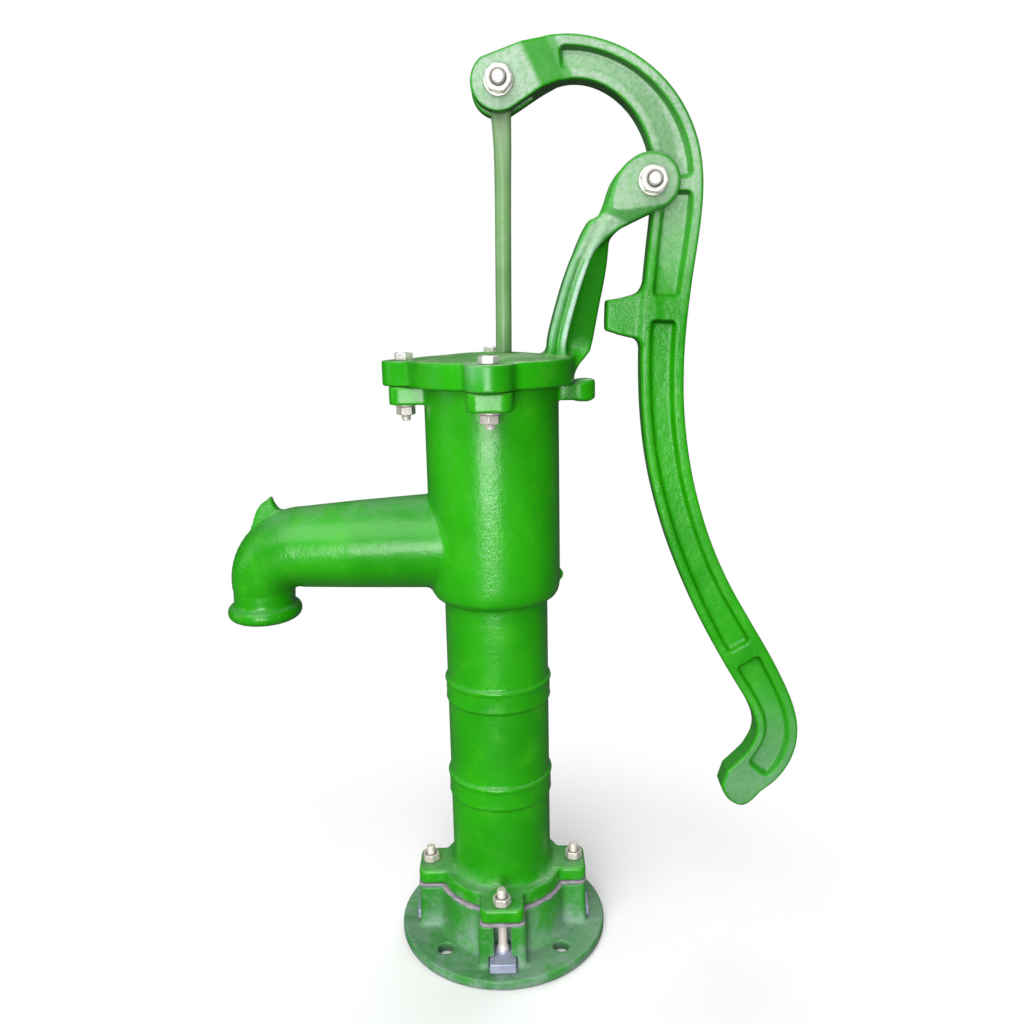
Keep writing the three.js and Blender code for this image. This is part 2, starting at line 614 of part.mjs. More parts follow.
// follower screwed on the spigot, with two cheeks for the piston pin
function pistonCage() {
  const follower = pistonLathe([
    [SPIGOT_FIT, 10.9], [32.6, 10.9], [33.4, 12], [33.4, 17], [28, 20.3], [SPIGOT_FIT, 20.3],
  ], 24);
  const collar = pistonLathe([[SPIGOT_FIT, 15], [30, 15], [28, 26], [SPIGOT_FIT, 26]], 24);
  const plate = (outline, y0, y1) => plateY(above(PISTON_BOTTOM, outline), y0, y1);
  const cheek = [[-13, 16], [-13, 48], ...arc([0, PIN_HEIGHT], 12, 160, 20, 8), [13, 48], [13, 16]];
  const cheeks = cut(
    union(plate(cheek, 10.5, 27.5), plate(cheek, -27.5, -10.5)),
    cylinderZ(SPIGOT_FIT, PISTON_BOTTOM + 10, PISTON_BOTTOM + 38, 24));
  const outerTrim = rectangle(-16, 16, 34, 70);
  return cut(union(follower, cheeks, collar),
    plate(rectangle(-40, -12.5, 32, 70), -30, 30),
    plate(outerTrim, 19.5, 30), plate(outerTrim, -30, -19.5),
    pivotHole(5.2, [0, PISTON_PIN_Z]));
}

// poppet resting on the spigot
const poppetValve = () => pistonLathe([
  [0, 4], [4, 4], [4, 17], [11, 20.3], [17.5, 20.3], [18, 21], [18, 24], [8, 26.5], [0, 27],
], 16);

// ----------------------------------------------------------------- foot valve
// heights are measured from the underside of the leather
const LEATHER_BOTTOM = BASE_TOP + GAP;
const LEATHER_THICKNESS = 3;
const PLATE_THICKNESS = 3;
const WEIGHT_TOP = 13;
const SCREW_RADIUS = 3;
const SCREW_FIT = SCREW_RADIUS + CLEARANCE;
const SCREW_HEX_RADIUS = 5.8;

const valveCylinder = (radius, z0, z1, segments) => (
  cylinderZ(radius, LEATHER_BOTTOM + z0, LEATHER_BOTTOM + z1, segments));
const drilled = (body) => cut(body, valveCylinder(SCREW_FIT, -10, 25, 12));

// disc with a flat on its right-hand side
const footLeather = () => drilled(plateZ(
  arc([0, 0], 27, 28, 332, 20), LEATHER_BOTTOM, LEATHER_BOTTOM + LEATHER_THICKNESS));

function footWeight() {
  const bottom = LEATHER_THICKNESS + GAP;
  return lathe(above(LEATHER_BOTTOM, [
    [SCREW_FIT, bottom], [18, bottom], [18, 8], [9, WEIGHT_TOP], [SCREW_FIT, WEIGHT_TOP],
  ]), 16);
}

const footPlate = () => drilled(valveCylinder(14, -PLATE_THICKNESS - GAP, -GAP, 16));
const footScrew = () => union(
  valveCylinder(SCREW_HEX_RADIUS, -7.6, -PLATE_THICKNESS - 2 * GAP, 6),
  valveCylinder(SCREW_RADIUS, -5, 22, 12));
const footNut = () => drilled(valveCylinder(SCREW_HEX_RADIUS, WEIGHT_TOP + GAP, 18.5, 6));

// ------------------------------------------------------------------- assembly
const group = new THREE.Group();

function add(name, manifold, finish) {
  const { vertProperties, triVerts } = manifold.getMesh();
  const geometry = new THREE.BufferGeometry();
  geometry.setAttribute('position', new THREE.Float32BufferAttribute(vertProperties, 3));
  geometry.setIndex(new THREE.Uint32BufferAttribute(triVerts, 1));
  geometry.computeVertexNormals();
  const mesh = new THREE.Mesh(geometry, new THREE.MeshStandardMaterial(finish));
  mesh.name = name;
  mesh.position.x = -AXIS_TO_MIDDLE;
  group.add(mesh);
}

function addCapFasteners(quarter) {
  const side = SIDES[quarter];
  const place = placeAt(CAP_BOLT_RADIUS, quarter);
  const washerBottom = EAR_BOTTOM - GAP - M8.washer;
  const nutBottom = washerBottom - GAP - M8.nut;
  const capBolt = bolt(cylinderZ, M8, place, CAP_RIM + GAP, nutBottom - 4.5, HEX_TURN_Z);
  add(`cap_bolt_${side}`, capBolt, FINISH.zinc);
  add(`cap_washer_${side}`, washer(cylinderZ, M8, place, washerBottom), FINISH.zinc);
  add(`cap_nut_${side}`, nut(cylinderZ, M8, place, nutBottom, HEX_TURN_Z), FINISH.zinc);
}

// T-bolt with its head in the base pocket; the front head is longer
function addBaseFasteners(quarter) {
  const side = SIDES[quarter];
  const place = placeAt(BASE_BOLT_RADIUS, quarter);
  const headHalf = HEAD_POCKET_WIDTH / 2 - 0.6;
  const head = rectangle(54.5, side === 'front' ? 80 : 74.5, -headHalf, headHalf);
  const tBolt = union(
    plateZ(head, BASE_DISC_THICKNESS + 0.6, HEAD_POCKET_TOP - GAP, quarter),
    cylinderZ(M8.radius, 12, 73.2, 16, place));
  add(`base_t_bolt_${side}`, tBolt, FINISH.forged);
  add(`base_nut_${side}`, nut(cylinderZ, M8, place, TAB_TOP + GAP, HEX_TURN_Z), FINISH.zinc);
}

// pivot bolt along Y, head at the back and nut at the front, through parts out to ±face
function addPivot(prefix, place, face) {
  const washerStart = face + GAP;
  const seat = washerStart + M10.washer + GAP;
  const tip = -face - M10.washer - M10.nut - 3.5;
  const frontWasher = washer(cylinderY, M10, place, -washerStart - M10.washer);
  add(`${prefix}_washer_front`, frontWasher, FINISH.zinc);
  add(`${prefix}_nut`, nut(cylinderY, M10, place, -seat - M10.nut, 0.35), FINISH.zinc);
  add(`${prefix}_washer_back`, washer(cylinderY, M10, place, washerStart), FINISH.zinc);
  add(`${prefix}_bolt`, bolt(cylinderY, M10, place, seat, tip, 0.2), FINISH.zinc);
}

add('base_flange', baseFlange(), FINISH.dustyPaint);
add('base_gasket', baseGasket(), FINISH.gasket);
add('pump_barrel', pumpBarrel(), FINISH.paint);
add('top_cap', topCap(), FINISH.paint);
CAP_QUARTERS.forEach(addCapFasteners);
QUARTERS.forEach(addBaseFasteners);
add('handle', handle(), FINISH.softPaint);
addPivot('fulcrum', FULCRUM, FORK_OUTER_HALF);
addPivot('clevis', CLEVIS, CLEVIS_HALF);
add('pump_rod', pumpRod(), FINISH.rodSteel);
add('piston_base', pistonBase(), FINISH.brass);
add('cup_leather', cupLeather(), FINISH.leather);
add('piston_cage', pistonCage(), FINISH.brass);
add('piston_pin', cylinderY(4.8, -19, 19, 16, [0, PISTON_PIN_Z]), FINISH.zinc);
add('poppet_valve', poppetValve(), FINISH.brass);
add('foot_valve_leather', footLeather(), FINISH.leather);
add('foot_valve_weight', footWeight(), FINISH.iron);
add('foot_valve_plate', footPlate(), FINISH.iron);
add('foot_valve_screw', footScrew(), FINISH.brass);
add('foot_valve_nut', footNut(), FINISH.brass);

export default group;
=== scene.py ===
# Looks for a hand well pump: castings, rod, lever, fasteners, piston and valves.
# Shapes are signed distance functions in millimetres with the barrel axis on Z. The lever
# and its fulcrum are on +X, the spout is on -X and the camera looks from the front, -Y.
# Blender objects, materials, lights and the camera are in metres, shifted along X by DX.
import bpy, bmesh, math
import numpy as np
from mathutils import Matrix, Vector


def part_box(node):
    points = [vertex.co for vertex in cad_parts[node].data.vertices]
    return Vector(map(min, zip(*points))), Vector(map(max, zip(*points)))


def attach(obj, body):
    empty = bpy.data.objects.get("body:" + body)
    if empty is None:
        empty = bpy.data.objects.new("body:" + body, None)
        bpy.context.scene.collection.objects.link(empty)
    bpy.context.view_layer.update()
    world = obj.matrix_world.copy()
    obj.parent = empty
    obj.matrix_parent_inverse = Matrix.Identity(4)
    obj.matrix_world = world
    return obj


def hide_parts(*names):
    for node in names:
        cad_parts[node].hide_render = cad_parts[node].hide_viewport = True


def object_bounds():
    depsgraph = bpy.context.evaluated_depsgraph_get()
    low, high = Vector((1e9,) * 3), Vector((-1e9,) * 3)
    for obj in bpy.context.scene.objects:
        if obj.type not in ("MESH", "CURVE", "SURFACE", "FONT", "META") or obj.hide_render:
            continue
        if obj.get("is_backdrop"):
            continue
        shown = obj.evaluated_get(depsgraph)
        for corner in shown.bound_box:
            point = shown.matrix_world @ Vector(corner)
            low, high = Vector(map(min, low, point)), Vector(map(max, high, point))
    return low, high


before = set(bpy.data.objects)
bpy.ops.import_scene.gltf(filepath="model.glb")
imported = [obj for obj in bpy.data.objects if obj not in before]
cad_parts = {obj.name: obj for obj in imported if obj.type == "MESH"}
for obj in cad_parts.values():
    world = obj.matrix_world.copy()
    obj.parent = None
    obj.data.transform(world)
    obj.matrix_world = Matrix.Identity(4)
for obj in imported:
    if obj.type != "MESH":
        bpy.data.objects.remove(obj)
CAD_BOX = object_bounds()
flange_low, flange_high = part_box("base_flange")
DX = (flange_low.x + flange_high.x) * 500.0   # barrel axis in the row frame, mm
single = np.float32
COARSEN = 1.0         # scale on every grid step
FAR = 100                                     # added to a cutting tool to switch it off

FULCRUM_X, FULCRUM_Z = 119.5, 614.8           # pin between the cap stand and the lever
CLEVIS_X, CLEVIS_Z = 10.5, 683.4              # pin between the lever and the pump rod
CLEVIS_TILT = math.radians(26.5)              # clevis axis above +X
PIN_HOLE_R = 5.4
BASE_BOLT_R = 62                              # bolt circles around the barrel axis
CAP_BOLT_R = 66.5
BOLT_HOLE_R = 4.4
BARREL_FOOT, BARREL_TOP = 47.6, 471.4
BASE_TOP = 44.8
SPOUT_X = -188.3                              # axis of the spout's mouth

# ============================================================ distance tools


def hypot(a, b):
    return np.sqrt(a * a + b * b)


def disc(x, y, radius):
    return hypot(x, y) - radius


def meet(a, b, edge):
    """Intersection of two distances with a rounded outer edge."""
    a = a + edge
    b = b + edge
    return np.minimum(np.maximum(a, b), 0) + hypot(np.maximum(a, 0), np.maximum(b, 0)) - edge


def join(a, b, soft):
    """Union with a fillet."""
    mix = np.clip(0.5 + 0.5 * (b - a) / soft, 0, 1)
    return b + (a - b) * mix - soft * mix * (1 - mix)


def cut(solid, tool, soft):
    """Solid minus tool, with a softened edge."""
    return -join(-solid, tool, soft)


def rect(x, y, half_x, half_y, corner):
    over_x = np.abs(x) - half_x + corner
    over_y = np.abs(y) - half_y + corner
    inner = np.minimum(np.maximum(over_x, over_y), 0)
    return inner + hypot(np.maximum(over_x, 0), np.maximum(over_y, 0)) - corner


def stadium(x, y, half, radius):
    """Slot shape along x; half is the half distance between its end centres."""
    return disc(np.maximum(np.abs(x) - half, 0), y, radius)


def slab(z, low, high):
    return np.abs(z - 0.5 * (low + high)) - 0.5 * (high - low)


def plate(x, y, z, half, corner, span, edge):
    return meet(rect(x, y, *half, corner), slab(z, *span), edge)


def fold(x, y):
    """Map the four arms at 90 degrees onto one: distance along it and offset across it."""
    absx, absy = np.abs(x), np.abs(y)
    return np.maximum(absx, absy), np.minimum(absx, absy)


def from_fulcrum(x, z):
    return hypot(x - FULCRUM_X, z - FULCRUM_Z)


def from_clevis(x, z):
    return hypot(x - CLEVIS_X, z - CLEVIS_Z)


def outline_dist(outline, x, y):
    """Exact signed distance to a closed polygon, negative inside."""
    outline = np.asarray(outline, single)
    best = np.full(x.shape, 1e9, single)
    inside = np.zeros(x.shape, bool)
    for i in range(len(outline)):
        x0, y0 = outline[i]
        x1, y1 = outline[(i + 1) % len(outline)]
        run, rise = x1 - x0, y1 - y0
        length2 = run * run + rise * rise
        if length2 < 1e-9:
            continue
        rel_x, rel_y = x - x0, y - y0
        t = np.clip((rel_x * run + rel_y * rise) / length2, 0, 1)
        gap_x, gap_y = rel_x - run * t, rel_y - rise * t
        np.minimum(best, gap_x * gap_x + gap_y * gap_y, out=best)
        crosses = (y0 > y) != (y1 > y)
        if rise != 0:
            inside ^= crosses & (x < (run * (y - y0) / rise + x0))
    dist = np.sqrt(best)
    return np.where(inside, -dist, dist)


def path_dist(path, x, y):
    """Distance to an open path of (x, y, radius) and the path's radius at the nearest point."""
    path = np.array(path, float)
    best = np.full(x.shape, 1e9, single)
    radius = np.zeros(x.shape, single)
    for (x0, y0, rad0), (x1, y1, rad1) in zip(path[:-1], path[1:]):
        run, rise = x1 - x0, y1 - y0
        t = np.clip(((x - x0) * run + (y - y0) * rise) / (run * run + rise * rise), 0, 1)
        dist = hypot(x - x0 - run * t, y - y0 - rise * t)
        nearer = dist < best
        best = np.where(nearer, dist, best)
        radius = np.where(nearer, rad0 + (rad1 - rad0) * t, radius)
    return [best, radius]


class Field:
    """2D functions sampled once on a grid and read back bilinearly."""

    def __init__(self, sample, low, high, step):
        self.low, self.step = np.array(low, single), single(step)
        self.count = np.ceil((np.array(high) - np.array(low)) / step).astype(int) + 1
        x, y = np.meshgrid(low[0] + step * np.arange(self.count[0]),
                           low[1] + step * np.arange(self.count[1]), indexing="ij")
        values = sample(x.astype(single), y.astype(single))
        self.grids = [np.asarray(v, single) for v in values]

    def __call__(self, x, y):
        col = np.clip((x - self.low[0]) / self.step, 0, self.count[0] - 1.001)
        row = np.clip((y - self.low[1]) / self.step, 0, self.count[1] - 1.001)
        i, j = col.astype(np.int32), row.astype(np.int32)
        s, t = (col - i).astype(single), (row - j).astype(single)
        out = []
        for grid in self.grids:
            near = grid[i, j] * (1 - s) + grid[i + 1, j] * s
            far = grid[i, j + 1] * (1 - s) + grid[i + 1, j + 1] * s
            out.append(near * (1 - t) + far * t)
        return out if len(out) > 1 else out[0]


def outline_field(outline, pad=14, step=0.6):
    outline = np.asarray(outline, float)
    return Field(lambda x, y: [outline_dist(outline, x, y)],
                 outline.min(0) - pad, outline.max(0) + pad, step)


def path_field(path, low, high, step):
    return Field(lambda x, y: path_dist(path, x, y), low, high, step)


def line_field(points, low, high, step):
    """Plain distance to an open line of (x, y)."""
    path = [(x, y, 0) for x, y in points]
    return Field(lambda x, y: path_dist(path, x, y)[:1], low, high, step)


def chaikin(points, times=2, closed=False):
    """Corner cutting; an open line keeps its end points."""
    points = np.asarray(points, float)
    for _ in range(times):
        if closed:
            here, ahead = points, np.roll(points, -1, axis=0)
        else:
            here, ahead = points[:-1], points[1:]
        cuts = np.stack([0.75 * here + 0.25 * ahead, 0.25 * here + 0.75 * ahead], 1)
        cuts = cuts.reshape(-1, 2)
        points = cuts if closed else np.vstack([points[:1], cuts, points[-1:]])
    return points


def arc(x, z, radius, start, end, count):
    turns = np.radians(np.linspace(start, end, count + 1))
    return [(x + radius * math.cos(t), z + radius * math.sin(t)) for t in turns]


# ================================================================== meshing


def surface_nets(grid):
    """Vertices and quads of the zero surface, one vertex per grid cell it crosses."""
    inside = grid < 0
    cells, points = [], []
    dims = np.array(grid.shape, np.int64)
    stride = np.array([dims[1] * dims[2], dims[2], 1], np.int64)
    for axis in range(3):
        side, over = (axis + 1) % 3, (axis + 2) % 3
        here, ahead = [slice(None)] * 3, [slice(None)] * 3
        here[axis], ahead[axis] = slice(0, -1), slice(1, None)
        edges = np.argwhere(inside[tuple(here)] != inside[tuple(ahead)]).astype(np.int64)
        inner = (edges[:, side] > 0) & (edges[:, over] > 0)
        inner &= (edges[:, side] < dims[side] - 1) & (edges[:, over] < dims[over] - 1)
        edges = edges[inner]
        flat = edges @ stride
        start = grid.ravel()[flat]
        end = grid.ravel()[flat + stride[axis]]
        point = edges.astype(np.float64)
        point[:, axis] += start / (start - end)
        quad = np.stack([flat - stride[side] - stride[over], flat - stride[over],
                         flat, flat - stride[side]], 1)
        quad[start >= 0] = quad[start >= 0][:, ::-1]
        cells.append(quad.ravel())
        points.append(np.repeat(point, 4, axis=0))
    points = np.concatenate(points)
    used, index = np.unique(np.concatenate(cells), return_inverse=True)
    count = np.bincount(index, minlength=len(used)).astype(float)
    verts = np.stack([np.bincount(index, weights=points[:, k], minlength=len(used)) / count
                      for k in range(3)], 1)
    return verts, index.reshape(-1, 4)


def mesh_sdf(sdf, low, high, step, steps=3, margin=2.0):
    """Zero surface of sdf(x, y, z) in a box; only blocks within margin of it are sampled.
    The vertices are then pulled onto the surface in a few gradient steps."""
    step = step * COARSEN
    block = 8                    # grid points along a block's edge
    probe = 0.12                 # mm, for the gradient
    low = np.array(low, float)
    count = np.ceil((np.array(high) - low) / (block * step)).astype(int)
    mids = [low[k] + (np.arange(count[k]) * block + (block - 1) / 2) * step for k in range(3)]
    mids = np.meshgrid(*mids, indexing="ij")
    coarse = sdf(*[mid.ravel().astype(single) for mid in mids])
    values = np.repeat(coarse.astype(single)[:, None], block ** 3, 1)
    active = np.nonzero(np.abs(coarse) < 0.87 * block * step + margin)[0]
    cell = np.stack(np.meshgrid(*[np.arange(block)] * 3, indexing="ij"), -1).reshape(-1, 3)
    corner = np.stack(np.unravel_index(active, count), 1)
    batch = 500
    for i in range(0, len(active), batch):
        at = (corner[i:i + batch, None, :] * block + cell[None]) * step + low
        at = at.reshape(-1, 3).astype(single)
        values[active[i:i + batch]] = sdf(at[:, 0], at[:, 1], at[:, 2]).reshape(-1, block ** 3)
    grid = values.reshape(*count, block, block, block).transpose(0, 3, 1, 4, 2, 5)
    verts, quads = surface_nets(np.ascontiguousarray(grid.reshape(count * block)))
    verts = verts * step + low

    def nudged(axis, by):
        coords = [verts[:, k] for k in range(3)]
        coords[axis] = coords[axis] + by
        return sdf(*coords)

    for _ in range(steps):
        dist = sdf(verts[:, 0], verts[:, 1], verts[:, 2])
        slope = np.stack([nudged(k, probe) - nudged(k, -probe) for k in range(3)], 1)
        slope = slope / (2 * probe)
        move = -dist / np.maximum((slope * slope).sum(1), 0.25)
        move = np.clip(move, -0.5 * step, 0.5 * step)
        verts = verts + slope * move[:, None]
    return verts, quads


def smooth_faces(mesh):
    mesh.polygons.foreach_set("use_smooth", np.full(len(mesh.polygons), True))


def to_object(name, node, rider, look, verts, quads, keep=None):
    """Barrel-frame millimetres to an object that replaces a CAD node and rides a body.
    look is (material, slot); keep is the share of faces left after decimation."""
    material, slot = look
    verts = ((np.asarray(verts, float) + np.array([DX, 0, 0])) * 0.001).astype(single)
    mesh = bpy.data.meshes.new(name)
    mesh.vertices.add(len(verts))
    mesh.vertices.foreach_set("co", verts.ravel())
    mesh.loops.add(quads.size)
    mesh.loops.foreach_set("vertex_index", quads.astype(np.int32).ravel())
    mesh.polygons.add(len(quads))
    mesh.polygons.foreach_set("loop_start", (np.arange(len(quads)) * 4).astype(np.int32))
    mesh.update(calc_edges=True)
    mesh.validate()
    smooth_faces(mesh)
    mesh.materials.append(material)
    ob = bpy.data.objects.new(name, mesh)
    bpy.context.scene.collection.objects.link(ob)
    if keep:
        ob.modifiers.new("reduce", "DECIMATE").ratio = keep
        graph = bpy.context.evaluated_depsgraph_get()
        reduced = bpy.data.meshes.new_from_object(ob.evaluated_get(graph))
        ob.modifiers.clear()
        ob.data = reduced
        reduced.name = name
        smooth_faces(reduced)
    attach(ob, rider)
    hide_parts(node)
    return ob


def place(verts, axis, pos, turn=0.0):
    """Turn about local Z, lay local Z along the named axis, then move to pos."""
    c, s = math.cos(turn), math.sin(turn)
    x, y, z = verts[:, 0] * c - verts[:, 1] * s, verts[:, 0] * s + verts[:, 1] * c, verts[:, 2]
    laid = {"+Z": (x, y, z), "-Z": (x, -y, -z), "+Y": (x, z, -y), "-Y": (x, -z, y)}[axis]
    return np.stack(laid, 1) + np.array(pos)


def make(name, node, rider, look, sdf, box, step, keep=None, margin=2.0, steps=3, move=None):
    verts, quads = mesh_sdf(sdf, *box, step, steps, margin)
    if move:
        verts = place(verts, *move)
    return to_object(name, node, rider, look, verts, quads, keep)


def around(radius, low, high):
    """Meshing box around the local Z axis."""
    return (-radius, -radius, low), (radius, radius, high)


def barrel_coords(ob):
    """Vertex x, y and z in barrel-frame millimetres."""
    coords = np.empty(len(ob.data.vertices) * 3, single)
    ob.data.vertices.foreach_get("co", coords)
    return (coords.reshape(-1, 3) * 1000 - np.array([DX, 0, 0], single)).T


def store(ob, name, values):
    ob.data.attributes.new(name, "FLOAT", "POINT").data.foreach_set(
        "value", values.astype(single))


# ================================================================ materials


class Shader:
    """Node material with a principled shader, and one method per kind of node."""

    def __init__(self, name):
        self.mat = bpy.data.materials.new(name)
        self.mat.use_nodes = True
        self.tree = self.mat.node_tree
        self.tree.nodes.clear()
        self.out = self.new("ShaderNodeOutputMaterial")
        self.bsdf = self.new("ShaderNodeBsdfPrincipled")
        self.link(self.bsdf.outputs[0], self.out.inputs[0])
        self.coord = self.new("ShaderNodeTexCoord").outputs["Object"]

    def new(self, kind, **props):
        node = self.tree.nodes.new(kind)
        for key, value in props.items():
            setattr(node, key, value)
        return node

    def link(self, source, target):
        self.tree.links.new(source, target)

    def put(self, socket, value):
        if isinstance(value, bpy.types.NodeSocket):
            self.link(value, socket)
        elif isinstance(value, tuple) and socket.type == "RGBA":
            socket.default_value = (*value, 1)
        else:
            socket.default_value = value

    def noise(self, scale, detail=3, rough=0.55, warp=0.0):
        node = self.new("ShaderNodeTexNoise")
        node.inputs["Scale"].default_value = scale
        node.inputs["Detail"].default_value = detail
        node.inputs["Roughness"].default_value = rough
        node.inputs["Distortion"].default_value = warp
        self.link(self.coord, node.inputs["Vector"])
        return node.outputs["Fac"]

    def voronoi(self, scale):
        node = self.new("ShaderNodeTexVoronoi")
        node.inputs["Scale"].default_value = scale
        self.link(self.coord, node.inputs["Vector"])
        return node.outputs["Distance"]

    def math(self, operation, first, second=0.0, clamp=False):
        node = self.new("ShaderNodeMath", operation=operation, use_clamp=clamp)
        self.put(node.inputs[0], first)
        self.put(node.inputs[1], second)
        return node.outputs[0]

    def mul(self, first, second):
        return self.math("MULTIPLY", first, second)

    def add(self, first, second):
        return self.math("ADD", first, second)

    def sub(self, first, second):
        return self.math("SUBTRACT", first, second)

    def ramp(self, value, over, to=(0.0, 1.0)):
        """Smooth step of value over one range, mapped to another."""
        node = self.new("ShaderNodeMapRange", interpolation_type="SMOOTHSTEP")
        self.put(node.inputs["Value"], value)
        names = ("From Min", "From Max", "To Min", "To Max")
        for name, limit in zip(names, (*over, *to)):
            node.inputs[name].default_value = limit
        return node.outputs["Result"]

    def mix(self, fac, first, second):
        node = self.new("ShaderNodeMix", data_type="RGBA")
        self.put(node.inputs["Factor"], fac)
        self.put(node.inputs[6], first)
        self.put(node.inputs[7], second)
        return node.outputs[2]

    def bump(self, height, strength, distance, normal=None):
        node = self.new("ShaderNodeBump")
        node.inputs["Strength"].default_value = strength
        node.inputs["Distance"].default_value = distance
        self.link(height, node.inputs["Height"])
        if normal is not None:
            self.link(normal, node.inputs["Normal"])
        return node.outputs["Normal"]

    def xyz(self, vector=None):
        node = self.new("ShaderNodeSeparateXYZ")
        self.link(vector or self.coord, node.inputs[0])
        return node.outputs

    def geometry(self, name):
        return self.new("ShaderNodeNewGeometry").outputs[name]

    def attribute(self, name):
        return self.new("ShaderNodeAttribute", attribute_name=name).outputs["Fac"]

    def occlusion(self, distance, samples=8):
        node = self.new("ShaderNodeAmbientOcclusion", samples=samples)
        node.inputs["Distance"].default_value = distance
        return node.outputs["AO"]

    def set(self, **inputs):
        for name, value in inputs.items():
            self.put(self.bsdf.inputs[name.replace("_", " ")], value)
        return self.mat


def srgb(colour, dim=1.0):
    """sRGB 0-255, dimmed by a factor, to linear."""
    return tuple((c / 255 / 12.92) if c <= 10 else ((c / 255 + 0.055) / 1.055) ** 2.4
                 for c in (part * dim for part in colour))


FALL = (1.0, 0.0)      # ramp output that falls instead of rising


def dust_and_sheen_layer(net, col, rough, dust_and_sheen, sheen, outer, clear):
    """Dull pale dust with a painted sheen that grows over a height range, the sheen mostly on
    faces that look along Y. outer limits it to a range of |y|; clear is a stretch with little
    of it."""
    big, normal, texture, flat = sheen
    # painted sheen: strongest on faces that look along Y
    face = net.ramp(net.math("ABSOLUTE", normal[1]), over=(0.86, 0.985), to=(0.22, 1.0))
    mask = net.mul(net.ramp(net.xyz()[2], over=dust_and_sheen["z"]),
                   net.ramp(big, over=(0.25, 0.7), to=(0.72, 1.0)))
    mask = net.mul(net.mul(mask, face), net.mul(texture, flat))
    if clear:
        along = net.add(
            net.mul(net.sub(net.xyz()[0], clear["x"]), math.cos(clear["angle"])),
            net.mul(net.sub(net.xyz()[2], clear["z"]), math.sin(clear["angle"])))
        start, end = clear["span"]
        inside = net.mul(net.ramp(along, over=(start - 0.002, start + 0.003)),
                         net.ramp(along, over=(end - 0.002, end + 0.002), to=FALL))
        mask = net.mul(mask, net.sub(1.0, net.mul(inside, 0.78)))
    if outer:
        mask = net.mul(mask, net.ramp(net.math("ABSOLUTE", net.xyz()[1]), over=outer))
    col = net.mix(net.mul(mask, dust_and_sheen["amount"]), col, srgb(dust_and_sheen["colour"]))
    return col, net.add(rough, net.mul(mask, 0.18))


def spot_layer(net, col, rough, spots):
    """Blotches that fade out upwards over a height range."""
    low = net.ramp(net.xyz()[2], over=spots["z"], to=FALL)
    blot = net.mul(
        net.ramp(net.noise(scale=38, detail=6, rough=0.72, warp=0.6), over=(0.47, 0.66)),
        net.ramp(net.noise(scale=260), over=(0.30, 0.55), to=(0.6, 1.0)))
    mask = net.mul(net.mul(blot, low), spots["amount"])
    col = net.mix(mask, col, srgb(spots["colour"]))
    return col, net.add(rough, net.mul(mask, 0.25))


def highlight_and_dust_layer(net, col, rough, highlight_and_dust, deep):
    """Painted shade darkens where "shade" is stored on the mesh; pale painted highlights and
    dust where the other mask is.
    """
    shade = net.attribute("shade")
    col = net.mix(net.mul(shade, 0.72), col, srgb(deep, 0.62))
    breakup = net.ramp(net.noise(scale=90, detail=4, rough=0.65), over=(0.25, 0.6), to=(0.55, 1.0))
    mask = net.mul(net.attribute("highlight_and_dust"), breakup)
    col = net.mix(mask, col, srgb(highlight_and_dust))
    return col, net.add(net.add(rough, net.mul(mask, 0.15)), net.mul(shade, 0.30)), shade


def dust_layer(net, col, rough, normal, dust, ledge, colour):
    """Dust in corners (dust) and on faces that look up (ledge)."""
    corner = net.ramp(net.occlusion(0.026, samples=6), over=(0.42, 0.96), to=FALL)
    upward = net.ramp(normal[2], over=(0.45, 0.97))
    patch = net.ramp(net.noise(scale=46, detail=5, rough=0.68), over=(0.40, 0.60))
    streak = net.ramp(net.noise(scale=230), over=(0.2, 0.7), to=(0.7, 1.0))
    in_corner = net.mul(net.mul(corner, net.ramp(patch, over=(0, 1), to=(0.35, 1.0))), dust)
    on_ledge = net.mul(upward, net.mul(net.ramp(patch, over=(0, 1), to=(0.45, 1.0)), ledge))
    mask = net.math("MULTIPLY", net.math("MAXIMUM", in_corner, on_ledge), streak, clamp=True)
    return net.mix(mask, col, srgb(colour)), net.add(rough, net.mul(mask, 0.30))


